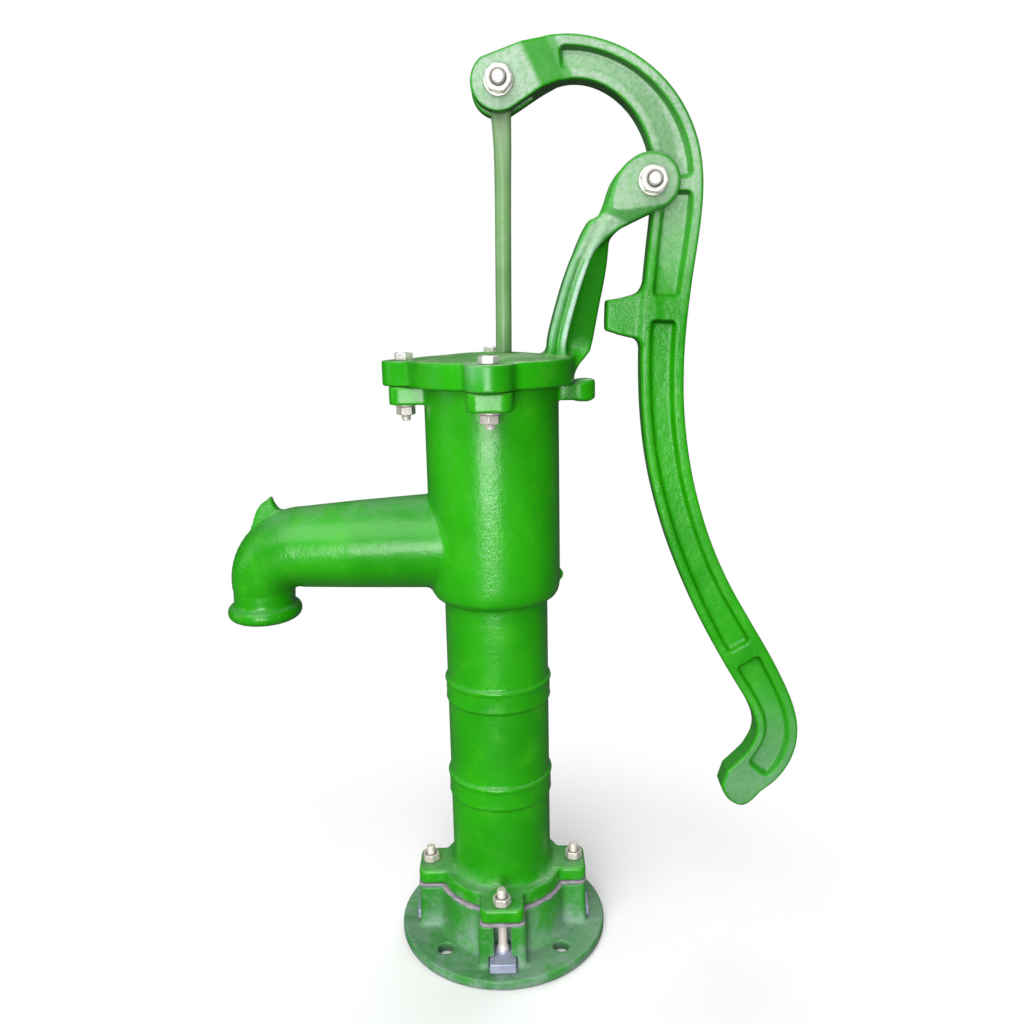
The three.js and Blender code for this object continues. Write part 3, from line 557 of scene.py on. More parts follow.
def paint(name, main, deep, light, rough, coat, grain, chips, dust=0.0, ledge=0.0,
          dust_col=(150, 165, 158), dust_and_sheen_coats=(), outer=None, clear=None, highlight_and_dust=None, underside_shade=0.0,
          spots=None):
    """Brushed enamel over rough iron. grain scales the bumps and chips the bare corners; one
    more weight sets the painted shade on faces that look down."""
    net = Shader(name)
    big = net.noise(scale=14, rough=0.5)
    mid = net.noise(scale=55, detail=4, rough=0.6, warp=0.4)
    normal = net.xyz(net.new("ShaderNodeTexCoord").outputs["Normal"])
    col = net.mix(net.ramp(big, over=(0.35, 0.68)), srgb(deep), srgb(main))
    col = net.mix(net.ramp(mid, over=(0.50, 0.78), to=(0.0, 0.22)), col, srgb(light))
    grit = net.mul(net.ramp(net.voronoi(scale=520), over=(0.10, 0.18), to=FALL),
                   net.ramp(net.noise(scale=38, detail=2), over=(0.52, 0.66)))
    col = net.mix(net.mul(grit, 0.35), col, srgb(light))
    point = net.geometry("Pointiness")
    shine = net.ramp(mid, over=(0.3, 0.75), to=(rough - 0.06, rough + 0.10))
    # pale dust and painted sheen over the upper faces
    if dust_and_sheen_coats:
        flat = net.ramp(point, over=(0.505, 0.54), to=FALL)
        mottle = net.ramp(net.noise(scale=330, detail=4, rough=0.7), over=(0.30, 0.66),
                          to=(0.55, 1.0))
        for dust_and_sheen in dust_and_sheen_coats:
            col, shine = dust_and_sheen_layer(net, col, shine, dust_and_sheen, (big, normal, mottle, flat),
                                    outer, clear)
    # pale edges and bare iron where they are worn through
    edge = net.ramp(point, over=(0.515, 0.60))
    bare = net.mul(edge, net.ramp(net.noise(scale=160, detail=4, rough=0.7), over=(0.50, 0.66)))
    col = net.mix(net.mul(edge, 0.18), col, srgb(light))
    col = net.mix(net.mul(bare, chips), col, srgb((112, 108, 100)))
    # painted shade darkening the inner corners and creases
    corner_shade = net.math("MAXIMUM",
                    net.ramp(net.occlusion(0.008, samples=6), over=(0.25, 0.85), to=FALL),
                    net.ramp(point, over=(0.40, 0.488), to=(0.9, 0.0)))
    col = net.mix(net.mul(corner_shade, 0.62), col, srgb(deep, 0.45))
    # painted shade on faces that look down
    if underside_shade:
        down = net.ramp(normal[2], over=(-0.85, -0.25), to=FALL)
        col = net.mix(net.mul(down, underside_shade), col, srgb(deep, 0.38))
    if spots:
        col, shine = spot_layer(net, col, shine, spots)
    # painted shade, and pale painted highlights with dust, from the masks stored on the mesh
    if highlight_and_dust:
        col, shine, shade = highlight_and_dust_layer(net, col, shine, highlight_and_dust, deep)
    if ledge:
        col, shine = dust_layer(net, col, shine, normal, dust, ledge, dust_col)
    bump = net.bump(net.noise(scale=700, detail=2, rough=0.5), 0.10 * grain, distance=0.0006)
    bump = net.bump(mid, 0.30 * grain, distance=0.0016, normal=bump)
    bump = net.bump(net.noise(scale=190, detail=4, rough=0.66), 0.34 * grain,
                    distance=0.0010, normal=bump)
    bump = net.bump(grit, 0.35, distance=0.0004, normal=bump)
    gloss = 0.3
    net.set(Base_Color=col, Roughness=shine, Normal=bump, IOR=1.45, Coat_Weight=coat,
            Specular_IOR_Level=gloss, Coat_Roughness=0.2, Coat_Normal=bump)
    if highlight_and_dust:    # shaded areas lose their gloss
        net.set(Coat_Weight=net.mul(net.sub(1.0, net.mul(shade, 0.95)), coat),
                Specular_IOR_Level=net.mul(net.sub(1.0, net.mul(shade, 0.7)), gloss))
    return net.mat


def metal(name, col, col2, rough, dirt, dirt_col, scale=300, metallic=1.0, upper=None):
    """Two-tone metal with dirt in corners and spots; upper is a tint above a height."""
    net = Shader(name)
    grain = net.noise(scale=scale, detail=4, rough=0.6)
    tone = net.mix(net.ramp(grain, over=(0.35, 0.7)), srgb(col), srgb(col2))
    if upper:
        tone = net.mix(net.ramp(net.xyz()[2], over=upper["z"]), tone, srgb(upper["colour"]))
    corner = net.ramp(net.occlusion(0.004), over=(0.3, 0.9), to=FALL)
    spots = net.ramp(net.noise(scale=scale * 1.7, detail=5, rough=0.7), over=(0.58, 0.72))
    mask = net.mul(net.math("MAXIMUM", corner, net.mul(spots, 0.5)), dirt)
    tone = net.mix(mask, tone, srgb(dirt_col))
    shine = net.add(net.ramp(grain, over=(0.3, 0.7), to=(rough - 0.07, rough + 0.08)),
                    net.mul(mask, 0.5))
    bump = net.bump(net.noise(scale=scale * 3), strength=0.18, distance=0.0002)
    bump = net.bump(grain, strength=0.15, distance=0.0003, normal=bump)
    return net.set(Base_Color=tone, Roughness=shine, Normal=bump,
                   Metallic=net.mul(net.sub(1.0, net.mul(mask, 0.8)), metallic))


def leather(name, col, dark, rough=0.7):
    net = Shader(name)
    pores = net.voronoi(scale=900)
    grain = net.noise(scale=120, detail=4, rough=0.6)
    tone = net.mix(net.ramp(grain, over=(0.3, 0.7)), srgb(dark), srgb(col))
    tone = net.mix(net.ramp(pores, over=(0.0, 0.35), to=(0.4, 0.0)), tone, srgb(dark, 0.6))
    bump = net.bump(pores, strength=0.4, distance=0.0004)
    bump = net.bump(grain, strength=0.4, distance=0.0008, normal=bump)
    shine = net.ramp(grain, over=(0.3, 0.7), to=(rough - 0.1, rough + 0.1))
    return net.set(Base_Color=tone, Roughness=shine, Normal=bump)


# Looks: a material and the name of its slot. Lengths inside materials are metres.
# the height bands in these looks mix pale dust and a painted sheen into the paint
GREEN = paint(
    "green_enamel", main=(36, 158, 0), deep=(27, 141, 0), light=(82, 180, 16),
    rough=0.36, coat=0.38, grain=0.9, chips=0.2, ledge=0.25, underside_shade=0.3, highlight_and_dust=(150, 190, 160),
    spots=dict(z=(0.058, 0.078), amount=0.40, colour=(120, 158, 124))), "green_paint"
GREEN_CAP = paint(
    "green_enamel_cap", main=(34, 160, 1), deep=(24, 142, 1), light=(90, 178, 40),
    rough=0.34, coat=0.28, grain=0.65, chips=0.3, highlight_and_dust=(170, 200, 184), underside_shade=0.4,
    ledge=0.72, dust_col=(150, 184, 138), outer=(0.0095, 0.0145),
    dust_and_sheen_coats=[dict(z=(0.480, 0.595), amount=0.86, colour=(170, 186, 171))]), "green_paint"
GREEN_BASE = paint(
    "green_enamel_base", main=(48, 148, 38), deep=(34, 126, 28), light=(98, 160, 100),
    rough=0.42, coat=0.16, grain=1.3, chips=0.35, dust=0.9, ledge=0.50, underside_shade=0.3,
    dust_col=(134, 156, 148),
    spots=dict(z=(0.020, 0.056), amount=0.46, colour=(140, 154, 156))), "green_paint_dusty"
GREEN_LEVER = paint(
    "green_enamel_lever", main=(38, 158, 2), deep=(26, 138, 2), light=(92, 180, 46),
    rough=0.40, coat=0.20, grain=1.4, chips=0.3, underside_shade=0.75,
    dust_and_sheen_coats=[dict(z=(0.50, 0.67), amount=0.95, colour=(180, 196, 182)),
           dict(z=(0.24, 0.14), amount=0.8, colour=(116, 150, 124))],
    clear=dict(x=(CLEVIS_X + DX) / 1000, z=CLEVIS_Z / 1000, angle=CLEVIS_TILT,
               span=(0.024, 0.049))), "green_paint_light"
ROD = paint(
    "rod_thin_paint", main=(116, 158, 102), deep=(92, 136, 82), light=(160, 180, 148),
    rough=0.36, coat=0.15, grain=0.8, chips=0.5,
    dust_and_sheen_coats=[dict(z=(0.58, 0.68), amount=0.5, colour=(140, 152, 128))]), "rod_steel"
ZINC = metal("bright_zinc", (240, 238, 232), (220, 217, 210), rough=0.3, dirt=0.4,
             dirt_col=(120, 112, 100), metallic=0.5), "zinc_steel"
ZINC_DUSTY = metal("dusty_zinc", (222, 216, 208), (196, 190, 180), rough=0.4, dirt=0.5,
                   dirt_col=(132, 126, 114), metallic=0.45), "zinc_steel"
FORGED = metal("forged_plate", (172, 178, 200), (152, 160, 186), rough=0.5, scale=180, dirt=0.3,
               dirt_col=(120, 126, 136), metallic=0.35,
               upper=dict(z=(0.0172, 0.0215), colour=(222, 214, 204))), "forged_steel"
IRON = metal("bare_iron", (84, 84, 86), (60, 60, 62), rough=0.6, scale=200, dirt=0.4,
             dirt_col=(70, 50, 38)), "bare_iron"
BRASS = metal("turned_brass", (206, 170, 98), (180, 142, 76), rough=0.28, dirt=0.35,
              dirt_col=(80, 66, 36)), "brass"
LEATHER = leather("pump_leather", (122, 78, 44), (82, 50, 28)), "valve_leather"
GASKET = leather("gasket_strip", (168, 158, 166), (128, 124, 132), rough=0.85), "gasket_leather"

# =========================================================== barrel casting
WALL_R, STEP_R = 41.6, 52      # barrel wall, and the wider foot and head

# (radius, z) half profiles
BARREL_OUT = [(0, BARREL_FOOT), (51.4, BARREL_FOOT), (STEP_R, 48.3), (STEP_R, 58.2), (51, 59.6),
              (47.2, 60.2), (44.4, 61.2), (42.8, 63.2), (41.9, 66.2), (WALL_R, 70)]
for low, high in ((130.4, 149.7), (214.7, 233.6)):      # two raised bands
    BARREL_OUT += [
        (WALL_R, low - 0.5), (42.5, low - 0.3), (43.05, low + 0.5), (43.1, low + 2),
        (42.8, low + 3), (42.8, high - 4.4), (43.2, high - 3.6), (43.8, high - 2.2),
        (43.7, high - 0.9), (42.9, high + 0.2), (WALL_R, high + 0.7)]
BARREL_OUT += [(WALL_R, 300.4), (42.2, 301.2), (44, 301.6), (46.6, 302.4), (49, 304.2),
               (50.7, 307), (51.6, 310.6), (STEP_R, 315), (STEP_R, 470.8), (51.4, BARREL_TOP),
               (0, BARREL_TOP)]
BARREL_IN = [(-20, 40), (37.5, 40), (37.5, 305), (46, 312), (46, 480), (-20, 480)]
BARREL_SKIN = outline_field(BARREL_OUT, pad=16, step=0.5)
BARREL_BORE = outline_field(BARREL_IN, pad=16, step=0.8)

# (x, z, radius) along the spout: nearly level, then a bend down
SPOUT_PATH = [(-20, 348.0, 38.4), (-60, 347.2, 37.2), (-110, 345.8, 34.9), (-140, 344.8, 33.2)]
SPOUT_PATH += [(-152 + 35.6 * math.cos(a), 309.4 + 35 * math.sin(a),
                32.5 - 8.0 * ((math.degrees(a) - 90) / 90) ** 1.6)
               for a in np.radians(np.linspace(90, 180, 19))]
SPOUT_OUTER = SPOUT_PATH + [(-188, 302, 24.3), (SPOUT_X, 270, 24.3)]
SPOUT_WALL = 4.7
SPOUT_INNER = [(x, z, r - SPOUT_WALL) for x, z, r in SPOUT_OUTER[:-1]] + [(SPOUT_X, 262, 19.6)]
SPOUT_SKIN, SPOUT_BORE = [path_field(path, (-240, 240), (100, 490), 1.0)
                          for path in (SPOUT_OUTER, SPOUT_INNER)]

# (x, z) side outlines: horn on top of the bend, web under the spout's root
HORN = outline_field(chaikin([
    (-194, 358), (-190.5, 368), (-188.5, 374.5), (-184.5, 380.4), (-180.5, 382.4),
    (-176.2, 387.0), (-175.4, 383.5), (-173.2, 377.6), (-168, 371.5), (-160, 366),
    (-165, 356)], closed=True), pad=10, step=0.4)
WEB = outline_field([(-62, 317), (-55, 312.5), (-50, 309), (-46, 304), (-41, 300), (-34, 301),
                     (-34, 325)], pad=12)


def barrel_sdf(x, y, z):
    rad = hypot(x, y)
    arm, off = fold(x, y)
    solid = BARREL_SKIN(rad, z)
    tab = plate(arm - 50.2, off, z, half=(21.3, 17.9), corner=6.5, span=(BARREL_FOOT, 60.0),
                edge=2.6)
    solid = join(solid, tab, 2.2)
    # ears under the cap; the one on +X is thin and ends in a round post
    right = x > np.abs(y)
    full = plate(arm - 53.0, off, z, half=(25, 16.4), corner=8.5, span=(457.5, BARREL_TOP),
                 edge=1.2)
    thin = plate(arm - 50.5, off, z, half=(24.5, 11.5), corner=8, span=(458.4, 471.0), edge=1.5)
    post = meet(disc(arm - 72.2, off, 7.9), slab(z, 458.2, 473.4), 2.2)
    solid = join(solid, np.where(right, join(thin, post, 6.0), full), 2.2)
    # spout with a bead round its mouth and a horn that thins upwards
    dist, radius = SPOUT_SKIN(x, z)
    tube = cut(disc(dist, y, radius), z - 286.6, 2.0)
    bead_rad, bead_half = 5.2, 6.0
    mouth = hypot(x - SPOUT_X, y)
    bead = (np.sqrt(((mouth - 24.2) / bead_rad) ** 2 + ((z - 292.2) / bead_half) ** 2
                    + 1e-9) - 1) * bead_rad
    tube = join(tube, bead, 2.2)
    horn_half = np.clip(7.0 - (z - 366) * 0.22, 2.2, 8)
    tube = join(tube, meet(HORN(x, z), np.abs(y) - horn_half, 1.6), 3.0)
    solid = join(solid, tube, 3.2)
    solid = join(solid, meet(WEB(x, z), np.abs(y) - 8, 2.0), 4.0)
    # small stub on the step of the casting
    stub = np.sqrt((x - 50.6) ** 2 + (y + 2) ** 2 + ((z - 318) * 0.8) ** 2) - 3.9
    solid = join(solid, stub, 1.0)
    # bores and bolt holes
    solid = cut(solid, BARREL_BORE(rad, z), 0.8)
    dist, radius = SPOUT_BORE(x, z)
    solid = cut(solid, disc(dist, y, radius), 1.2)
    solid = cut(solid, disc(arm - BASE_BOLT_R, off, BOLT_HOLE_R) + FAR * (z > 100), 0.5)
    hole = disc(arm - np.where(right, 70.6, CAP_BOLT_R), off, BOLT_HOLE_R)
    return cut(solid, hole + FAR * (z < 400), 0.5)


barrel = make("barrel_casting", "pump_barrel", "stand", GREEN, barrel_sdf,
              ((-223, -84, 42), (86, 84, 476)), step=1.35, keep=0.55, margin=5.0)
x, y, z = barrel_coords(barrel)
ear = np.clip((x - 56) / 1.5, 0, 1) * np.clip((68 - x) / 4, 0, 1) * (np.abs(y) < 14) * (z > 456)
store(barrel, "shade", 0.75 * ear)

# ============================================================== cap casting
# (x, z) edges of the stand that leans out to the fulcrum, bottom to top
STAND_LEFT = [
    (43.5, 484), (43.2, 494), (43.8, 503), (45.4, 511), (47.4, 518.4), (49.4, 525.8),
    (51.6, 533.1), (53.8, 540.5), (56.2, 547.7), (58.8, 554.9), (61.7, 562.1), (65.1, 569.3),
    (68.8, 576.4), (72.2, 583.4), (75.4, 589)]
STAND_RIGHT = [
    (64, 482), (71, 488.6), (76, 495), (78, 503), (79.4, 510.3), (80.8, 517.8), (82.2, 525.2),
    (83.6, 532.5), (85.2, 539.8), (86.6, 547.1), (87.8, 554.4), (88.8, 561.6), (89.4, 568.8),
    (90, 576), (93, 584)]
# (radius, z) of the shallow dome on the cap plate
CAP_DOME = outline_field([
    (0, 472), (62, 472), (63.4, 488.8), (62.6, 490.4), (46, 492.4), (28, 494.2), (12, 495.1),
    (0, 495.3), (-8, 495.3), (-8, 472)])
STAND_FLANGE = outline_field(STAND_LEFT + [(x + 13.4, z - 1.5) for x, z in STAND_LEFT[::-1]])
STAND_EDGE = line_field(STAND_LEFT, (20, 460), (120, 620), 0.8)
STAND_WEB = outline_field([(x + 5, z) for x, z in STAND_LEFT] + STAND_RIGHT[::-1])
# (x, z) outlines of the two cheeks, the raised area on them, and the root below them
CHEEK = outline_field(chaikin(arc(FULCRUM_X, FULCRUM_Z, 20.5, -62, 100, 18) + [
    (110.8, 634.0), (104.8, 630.8), (98.8, 625.8), (93.8, 619.4), (90.4, 612.4), (88.0, 604.6),
    (85.2, 597.2), (80.8, 590.4), (75.6, 584.4), (71.4, 577.4), (72, 569), (84, 572),
    (88.4, 577.6), (96.9, 583.2), (106.2, 587.2), (114.4, 591), (122, 594.4)], 1, closed=True))
CHEEK_FACE = outline_field(chaikin(arc(FULCRUM_X, FULCRUM_Z, 17.6, -62, 118, 14) + [
    (102.2, 627.0), (97.2, 620), (94.4, 612.7), (92.0, 604), (91.0, 598.6), (92.6, 596.0),
    (100.8, 595.6), (108, 596.4), (115.2, 597.6)], 1, closed=True), pad=60, step=0.8)
CHEEK_ROOT = outline_field(chaikin([
    (66.5, 569), (70.8, 579), (76, 587.4), (81.5, 592.0), (90, 592), (98, 587), (96, 583),
    (88.5, 578.4), (80, 576), (70, 560)], closed=True))


def stand_sdf(x, z, absy):
    # flange that narrows upwards, grooved along its edge, with a web behind it
    half = 20.0 - np.clip((z - 490) / 90, 0, 1) * 4.3
    half = half - 2.3 * np.exp(-((STAND_EDGE(x, z) - 7.0) / 2.7) ** 2)
    flange = meet(STAND_FLANGE(x, z), absy - half, 2.2)
    web = meet(STAND_WEB(x, z), absy - 6.0, 2.0)
    stand = join(flange, web, 4.5)
    root = meet(CHEEK_ROOT(x, z), absy - 15.0, 2.5)
    outer = 20.0 - np.clip(CHEEK_FACE(x, z), 0, 9) * 0.52
    cheek = meet(CHEEK(x, z), (absy - outer) * 0.9, 1.8)
    gap = np.maximum(absy - 11.0, 590.5 - 0.12 * (x - 70) - z)
    cheek = cut(cheek, gap, 1.6)
    return join(stand, join(root, cheek, 4.0), 5.0)


def cap_sdf(x, y, z):
    rad = hypot(x, y)
    arm, off = fold(x, y)
    absy = np.abs(y)
    right = x > absy
    lobe = np.where(right, 40.0, disc(arm - CAP_BOLT_R, off, 17))
    solid = meet(join(rad - 64, lobe, 9.0), slab(z, 471.7, 490.6), 1.3)
    solid = join(solid, CAP_DOME(rad, z), 2.5)
    solid = join(solid, stand_sdf(x, z, absy), 7.0)
    # the lever's room, cleared again after blending
    solid = cut(solid, np.maximum(absy - 10.9, from_fulcrum(x, z) - 24), 0.8)
    # hollow underneath, slot for the rod, bolt holes and pin hole
    solid = cut(solid, np.maximum(rad - 45, z - 481.5), 1.5)
    solid = cut(solid, stadium(x - 3.5, y, 8.5, 9.0) + FAR * (z > 520), 1.2)
    hole = disc(arm - CAP_BOLT_R, off, 4.5)
    solid = cut(solid, hole + FAR * (z > 520) + FAR * right, 0.6)
    return cut(solid, from_fulcrum(x, z) - 5.3, 0.6)


def clip01(values):
    return np.clip(values, 0, 1)


cap = make("cap_casting", "top_cap", "stand", GREEN_CAP, cap_sdf,
           ((-91, -91, 466), (146, 91, 641)), step=1.15, keep=0.6, margin=5.0)
x, y, z = barrel_coords(cap)
edge = STAND_EDGE(x, z)
on_flange = np.abs(y) > 9
# painted highlights on the stand's flange: a pale band along its edge and a brighter one on the
# ridge past the groove; pale dust on the bolt lobes; painted shade on the web
ridge_highlight = (clip01((edge - 8.4) / 1.6) * clip01((14.4 - edge) / 1.6)
              * clip01((592 - z) / 40) * clip01((z - 492) / 16) * on_flange)
edge_highlight = (0.42 * clip01((5.6 - edge) / 2.0) * clip01((585 - z) / 30)
             * clip01((z - 494) / 16) * on_flange)
lobes = (clip01((15 - hypot(x + 4, np.abs(y) - 70)) / 9)
         * np.clip((z - 472) / 14, 0.25, 1) * (z < 497))
web_shade = (clip01((edge - 14.2) / 2.5) * (np.abs(y) < 9) * clip01((z - 494) / 10)
             * clip01((598 - z) / 14))
store(cap, "shade", web_shade)
store(cap, "highlight_and_dust", np.maximum(np.maximum(ridge_highlight, edge_highlight) * 0.95, lobes * 0.62))

# ============================================================= base casting
# (radius, z) half profiles
BASE_SKIN = outline_field([
    (-6, 0.6), (-6, 0), (87.2, 0), (88, 0.8), (88, 6.6), (86.8, 8), (60, 8.3), (57.4, 9.2),
    (55.9, 11.2), (55.3, 14.5), (54.6, 44.0), (53.9, BASE_TOP), (-6, BASE_TOP)], step=0.5)
BASE_BORE = outline_field([(-20, -10), (21, -10), (21, 13), (47, 17), (46, 36), (20, 39.5),
                           (20, 60), (-20, 60)])
FLANGE_HOLE_XY, FLANGE_HOLE_R = 48.08, 6.6


def base_sdf(x, y, z):
    rad = hypot(x, y)
    arm, off = fold(x, y)
    solid = BASE_SKIN(rad, z)
    draft = (z - 8) * 0.02
    boss = plate(arm - 54 + draft, off, z, half=(17.6, 19.2), corner=4.0, span=(2, BASE_TOP),
                 edge=1.2)
    solid = join(solid, boss, 4.5)
    # slot for each T-bolt's shank, open outwards, and a wider pocket for its head
    solid = cut(solid, plate(arm - 80, off, z, half=(26, 6.9), corner=1.5, span=(8.2, 80),
                             edge=0.8), 1.0)
    solid = cut(solid, plate(arm - 80, off, z, half=(27, 11.5), corner=1.2, span=(8.2, 17.6),
                             edge=0.8), 1.0)
    hole = disc(np.abs(x) - FLANGE_HOLE_XY, np.abs(y) - FLANGE_HOLE_XY, FLANGE_HOLE_R)
    solid = cut(solid, hole + FAR * (z > 30), 0.9)
    return cut(solid, BASE_BORE(rad, z), 0.8)


make("base_casting", "base_flange", "stand", GREEN_BASE, base_sdf, around(93, -4, 50),
     step=1.05, keep=0.6, margin=5.0)

# ==================================================================== lever
# Stations from the clevis to the grip: outer edge x, z, then inner edge x, z
RAILS = np.array([
    (27.6, 709.2, 41.5, 678.9), (43.4, 713.5, 52.8, 683.7), (59.8, 714.7, 61.9, 685.3),
    (76.1, 712.8, 71.9, 684.8), (91.9, 708.2, 81.9, 682), (106.8, 701.1, 91.5, 677),
    (120.3, 691.8, 100.1, 670.3), (132.2, 680.4, 107.5, 662), (142, 667.3, 113.5, 652.4),
    (149.6, 652.7, 118, 641.9), (154.7, 637.1, 121, 630.6), (157.2, 620.8, 122.4, 618.5),
    (157.6, 604.4, 122.3, 605.3), (156.5, 588, 121.2, 590.7), (154.6, 571.6, 119.6, 574.9),
    (152.4, 555.3, 118, 558.3), (150.4, 539, 116.6, 541.4), (148.7, 522.6, 115.6, 524.4),
    (147.4, 506.2, 114.8, 507.2), (146.7, 489.8, 114.5, 489.8), (146.6, 473.3, 114.8, 472.3),
    (147.1, 456.9, 115.6, 454.7), (148.4, 440.5, 117.1, 437.1), (150.4, 424.1, 119.3, 419.4),
    (153.1, 407.9, 122.4, 401.7), (156.5, 391.8, 126.3, 384.4), (160.7, 375.9, 131, 367.2),
    (165.5, 360.1, 136.2, 350.4), (171, 344.6, 142.1, 333.9), (177.2, 329.4, 148.5, 317.7),
    (184.1, 314.5, 155.3, 301.7), (191.7, 299.9, 162.5, 286), (199.9, 285.6, 170.2, 270.5),
    (208.2, 271.4, 178.2, 255.3), (216.6, 257.2, 186.6, 240.2), (224.7, 242.9, 195, 225.6),
    (232.3, 228.3, 203, 212.4), (239.4, 213.3, 209.6, 200.6), (245.2, 197.7, 213.8, 190.3),
    (248.4, 181.5, 215.2, 181), (247.6, 165.1, 213.6, 172.3), (242.4, 149.2, 209.8, 164.4),
    (233.0, 135.2, 205.2, 157.6), (220.0, 124.0, 191.3, 143.5)], float)
GRIP_END = [(214, 117), (208.5, 112.2), (203, 111.6), (195.8, 115.2), (190.3, 121.5),
            (187.3, 130)]
# Recessed channels: first and last station, and the trim at each end
CHANNELS = ((1.5, 11.1, 0.28, 0.24), (11.75, 16.4, 0.24, 0.24), (17.4, 33.6, 0.24, 0.24),
            (34.4, 42.2, 0.26, 0.28))
CHANNEL_CORNER = 4
OUTER_RIM, INNER_RIM = 7.4, 6.1


def rail(station):
    """Row of RAILS at a fractional station, on a Catmull-Rom curve."""
    last = len(RAILS) - 1
    i = min(int(station), last - 1)
    t = station - i
    a, b, c, d = RAILS[max(i - 1, 0)], RAILS[i], RAILS[i + 1], RAILS[min(i + 2, last)]
    return 0.5 * (2 * b + (c - a) * t + (2 * a - 5 * b + 4 * c - d) * t * t
                  + (3 * b - a - 3 * c + d) * t ** 3)


def channel(first, last, outer_rim, inner_rim):
    """Closed outline between two stations, inset from both edges of the lever."""
    outer_side, inner_side = [], []
    for station in np.linspace(first, last, int(3 * (last - first)) + 2):
        row = rail(station)
        outer, inner = row[:2], row[2:]
        inward = (inner - outer) / np.linalg.norm(inner - outer)
        outer_side.append(outer + inward * outer_rim)
        inner_side.append(inner - inward * inner_rim)
    return np.array(outer_side + inner_side[::-1])


FINE_RAILS = np.array([rail(i) for i in np.linspace(1, len(RAILS) - 1,
                                                    4 * (len(RAILS) - 2) + 1)])
LEVER_OUTLINE = np.vstack([FINE_RAILS[:, :2], chaikin(GRIP_END, 1), FINE_RAILS[::-1, 2:]])
CLEVIS_OUTLINE = np.vstack([arc(CLEVIS_X, CLEVIS_Z, 20, 128, 296.5, 24),
                            RAILS[:3, 2:], RAILS[2::-1, :2]])


def lever_outlines(x, z):
    """Distances to the lever, the clevis and each channel."""
    pockets = [channel(first + trim0, last - trim1, OUTER_RIM + CHANNEL_CORNER,
                       INNER_RIM + CHANNEL_CORNER) for first, last, trim0, trim1 in CHANNELS]
    return [outline_dist(LEVER_OUTLINE, x, z), outline_dist(CLEVIS_OUTLINE, x, z)] + [
        outline_dist(pocket, x, z) - CHANNEL_CORNER for pocket in pockets]


LEVER = Field(lever_outlines, (-24, 96), (266, 733), 0.8)
INNER_EDGE = line_field(RAILS[1:13, 2:], (-24, 560), (180, 733), 1.0)
# (x, z) lug on the inner edge, below the fulcrum
LUG = outline_field(chaikin([
    (126, 546), (118, 541.5), (111, 536.5), (99, 533.6), (92, 532.8), (88.0, 532.0),
    (87.8, 528), (87.4, 513), (88.0, 509.6), (92, 508.4), (100, 505.6), (111, 503.2),
    (118, 499.5), (126, 494)], 1, closed=True))


def lever_sdf(x, y, z):
    absy = np.abs(y)
    profile, clevis, *pockets = LEVER(x, z)
    profile = profile - 0.5
    along = ((x - CLEVIS_X) * math.cos(CLEVIS_TILT)
             + (z - CLEVIS_Z) * math.sin(CLEVIS_TILT))
    clevis_half = 17.0 - np.clip((along - 26.0) / 18.5, 0, 1.0) * 7.4
    solid = meet(profile, absy - 10.0, 2.4)
    solid = join(solid, meet(clevis, (absy - clevis_half) * 0.88, 1.2), 0.6)
    boss = meet(from_fulcrum(x, z) - 18, absy - 10.5, 1.2)
    solid = join(solid, meet(LUG(x, z), absy - 9.2, 2.4), 6.0)
    # channels on both faces, with sloped walls; the first is shallower by the inner edge
    ring = from_fulcrum(x, z) - 19.5
    web_half = 4.9
    raised = web_half + 4.5 * np.clip((19 - INNER_EDGE(x, z)) / 12, 0, 1) * (z > 600)
    for pocket, floor_y in zip(pockets, (raised, web_half, web_half, web_half)):
        wall = (np.maximum(pocket, -9) + 0.42 * (10.0 - absy)) * 0.92
        tool = cut(wall, absy - floor_y, 1.6)
        solid = cut(solid, cut(tool, ring, 2.0), 1.1)
    solid = join(solid, boss, 2.0)
    # clevis slot and the two pin holes
    slot = np.maximum(np.maximum(absy - 8.0, along - 19.0), from_clevis(x, z) - 34)
    solid = cut(solid, slot, 1.0)
    solid = cut(solid, from_clevis(x, z) - PIN_HOLE_R, 0.5)
    return cut(solid, from_fulcrum(x, z) - PIN_HOLE_R, 0.5)


make("lever_casting", "handle", "lever", GREEN_LEVER, lever_sdf,
     ((-16, -21, 104), (258, 21, 724)), step=1.1, keep=0.6, margin=5.0)

# ================================================================= pump rod
ROD_R = 6.0
ROD_TOP = (11.6, 672)     # (x, z) centre line, downwards
ROD_LINE = [(12.2, 650), (12.1, 610), (11.3, 560), (10.0, 470), (9, 350), (7.8, 320), (3, 288),
            (0, 266)]
ROD_FIELD = path_field([(x, z, ROD_R) for x, z in [ROD_TOP, *chaikin(ROD_LINE)]],
                       (-30, 235), (40, 700), 0.8)


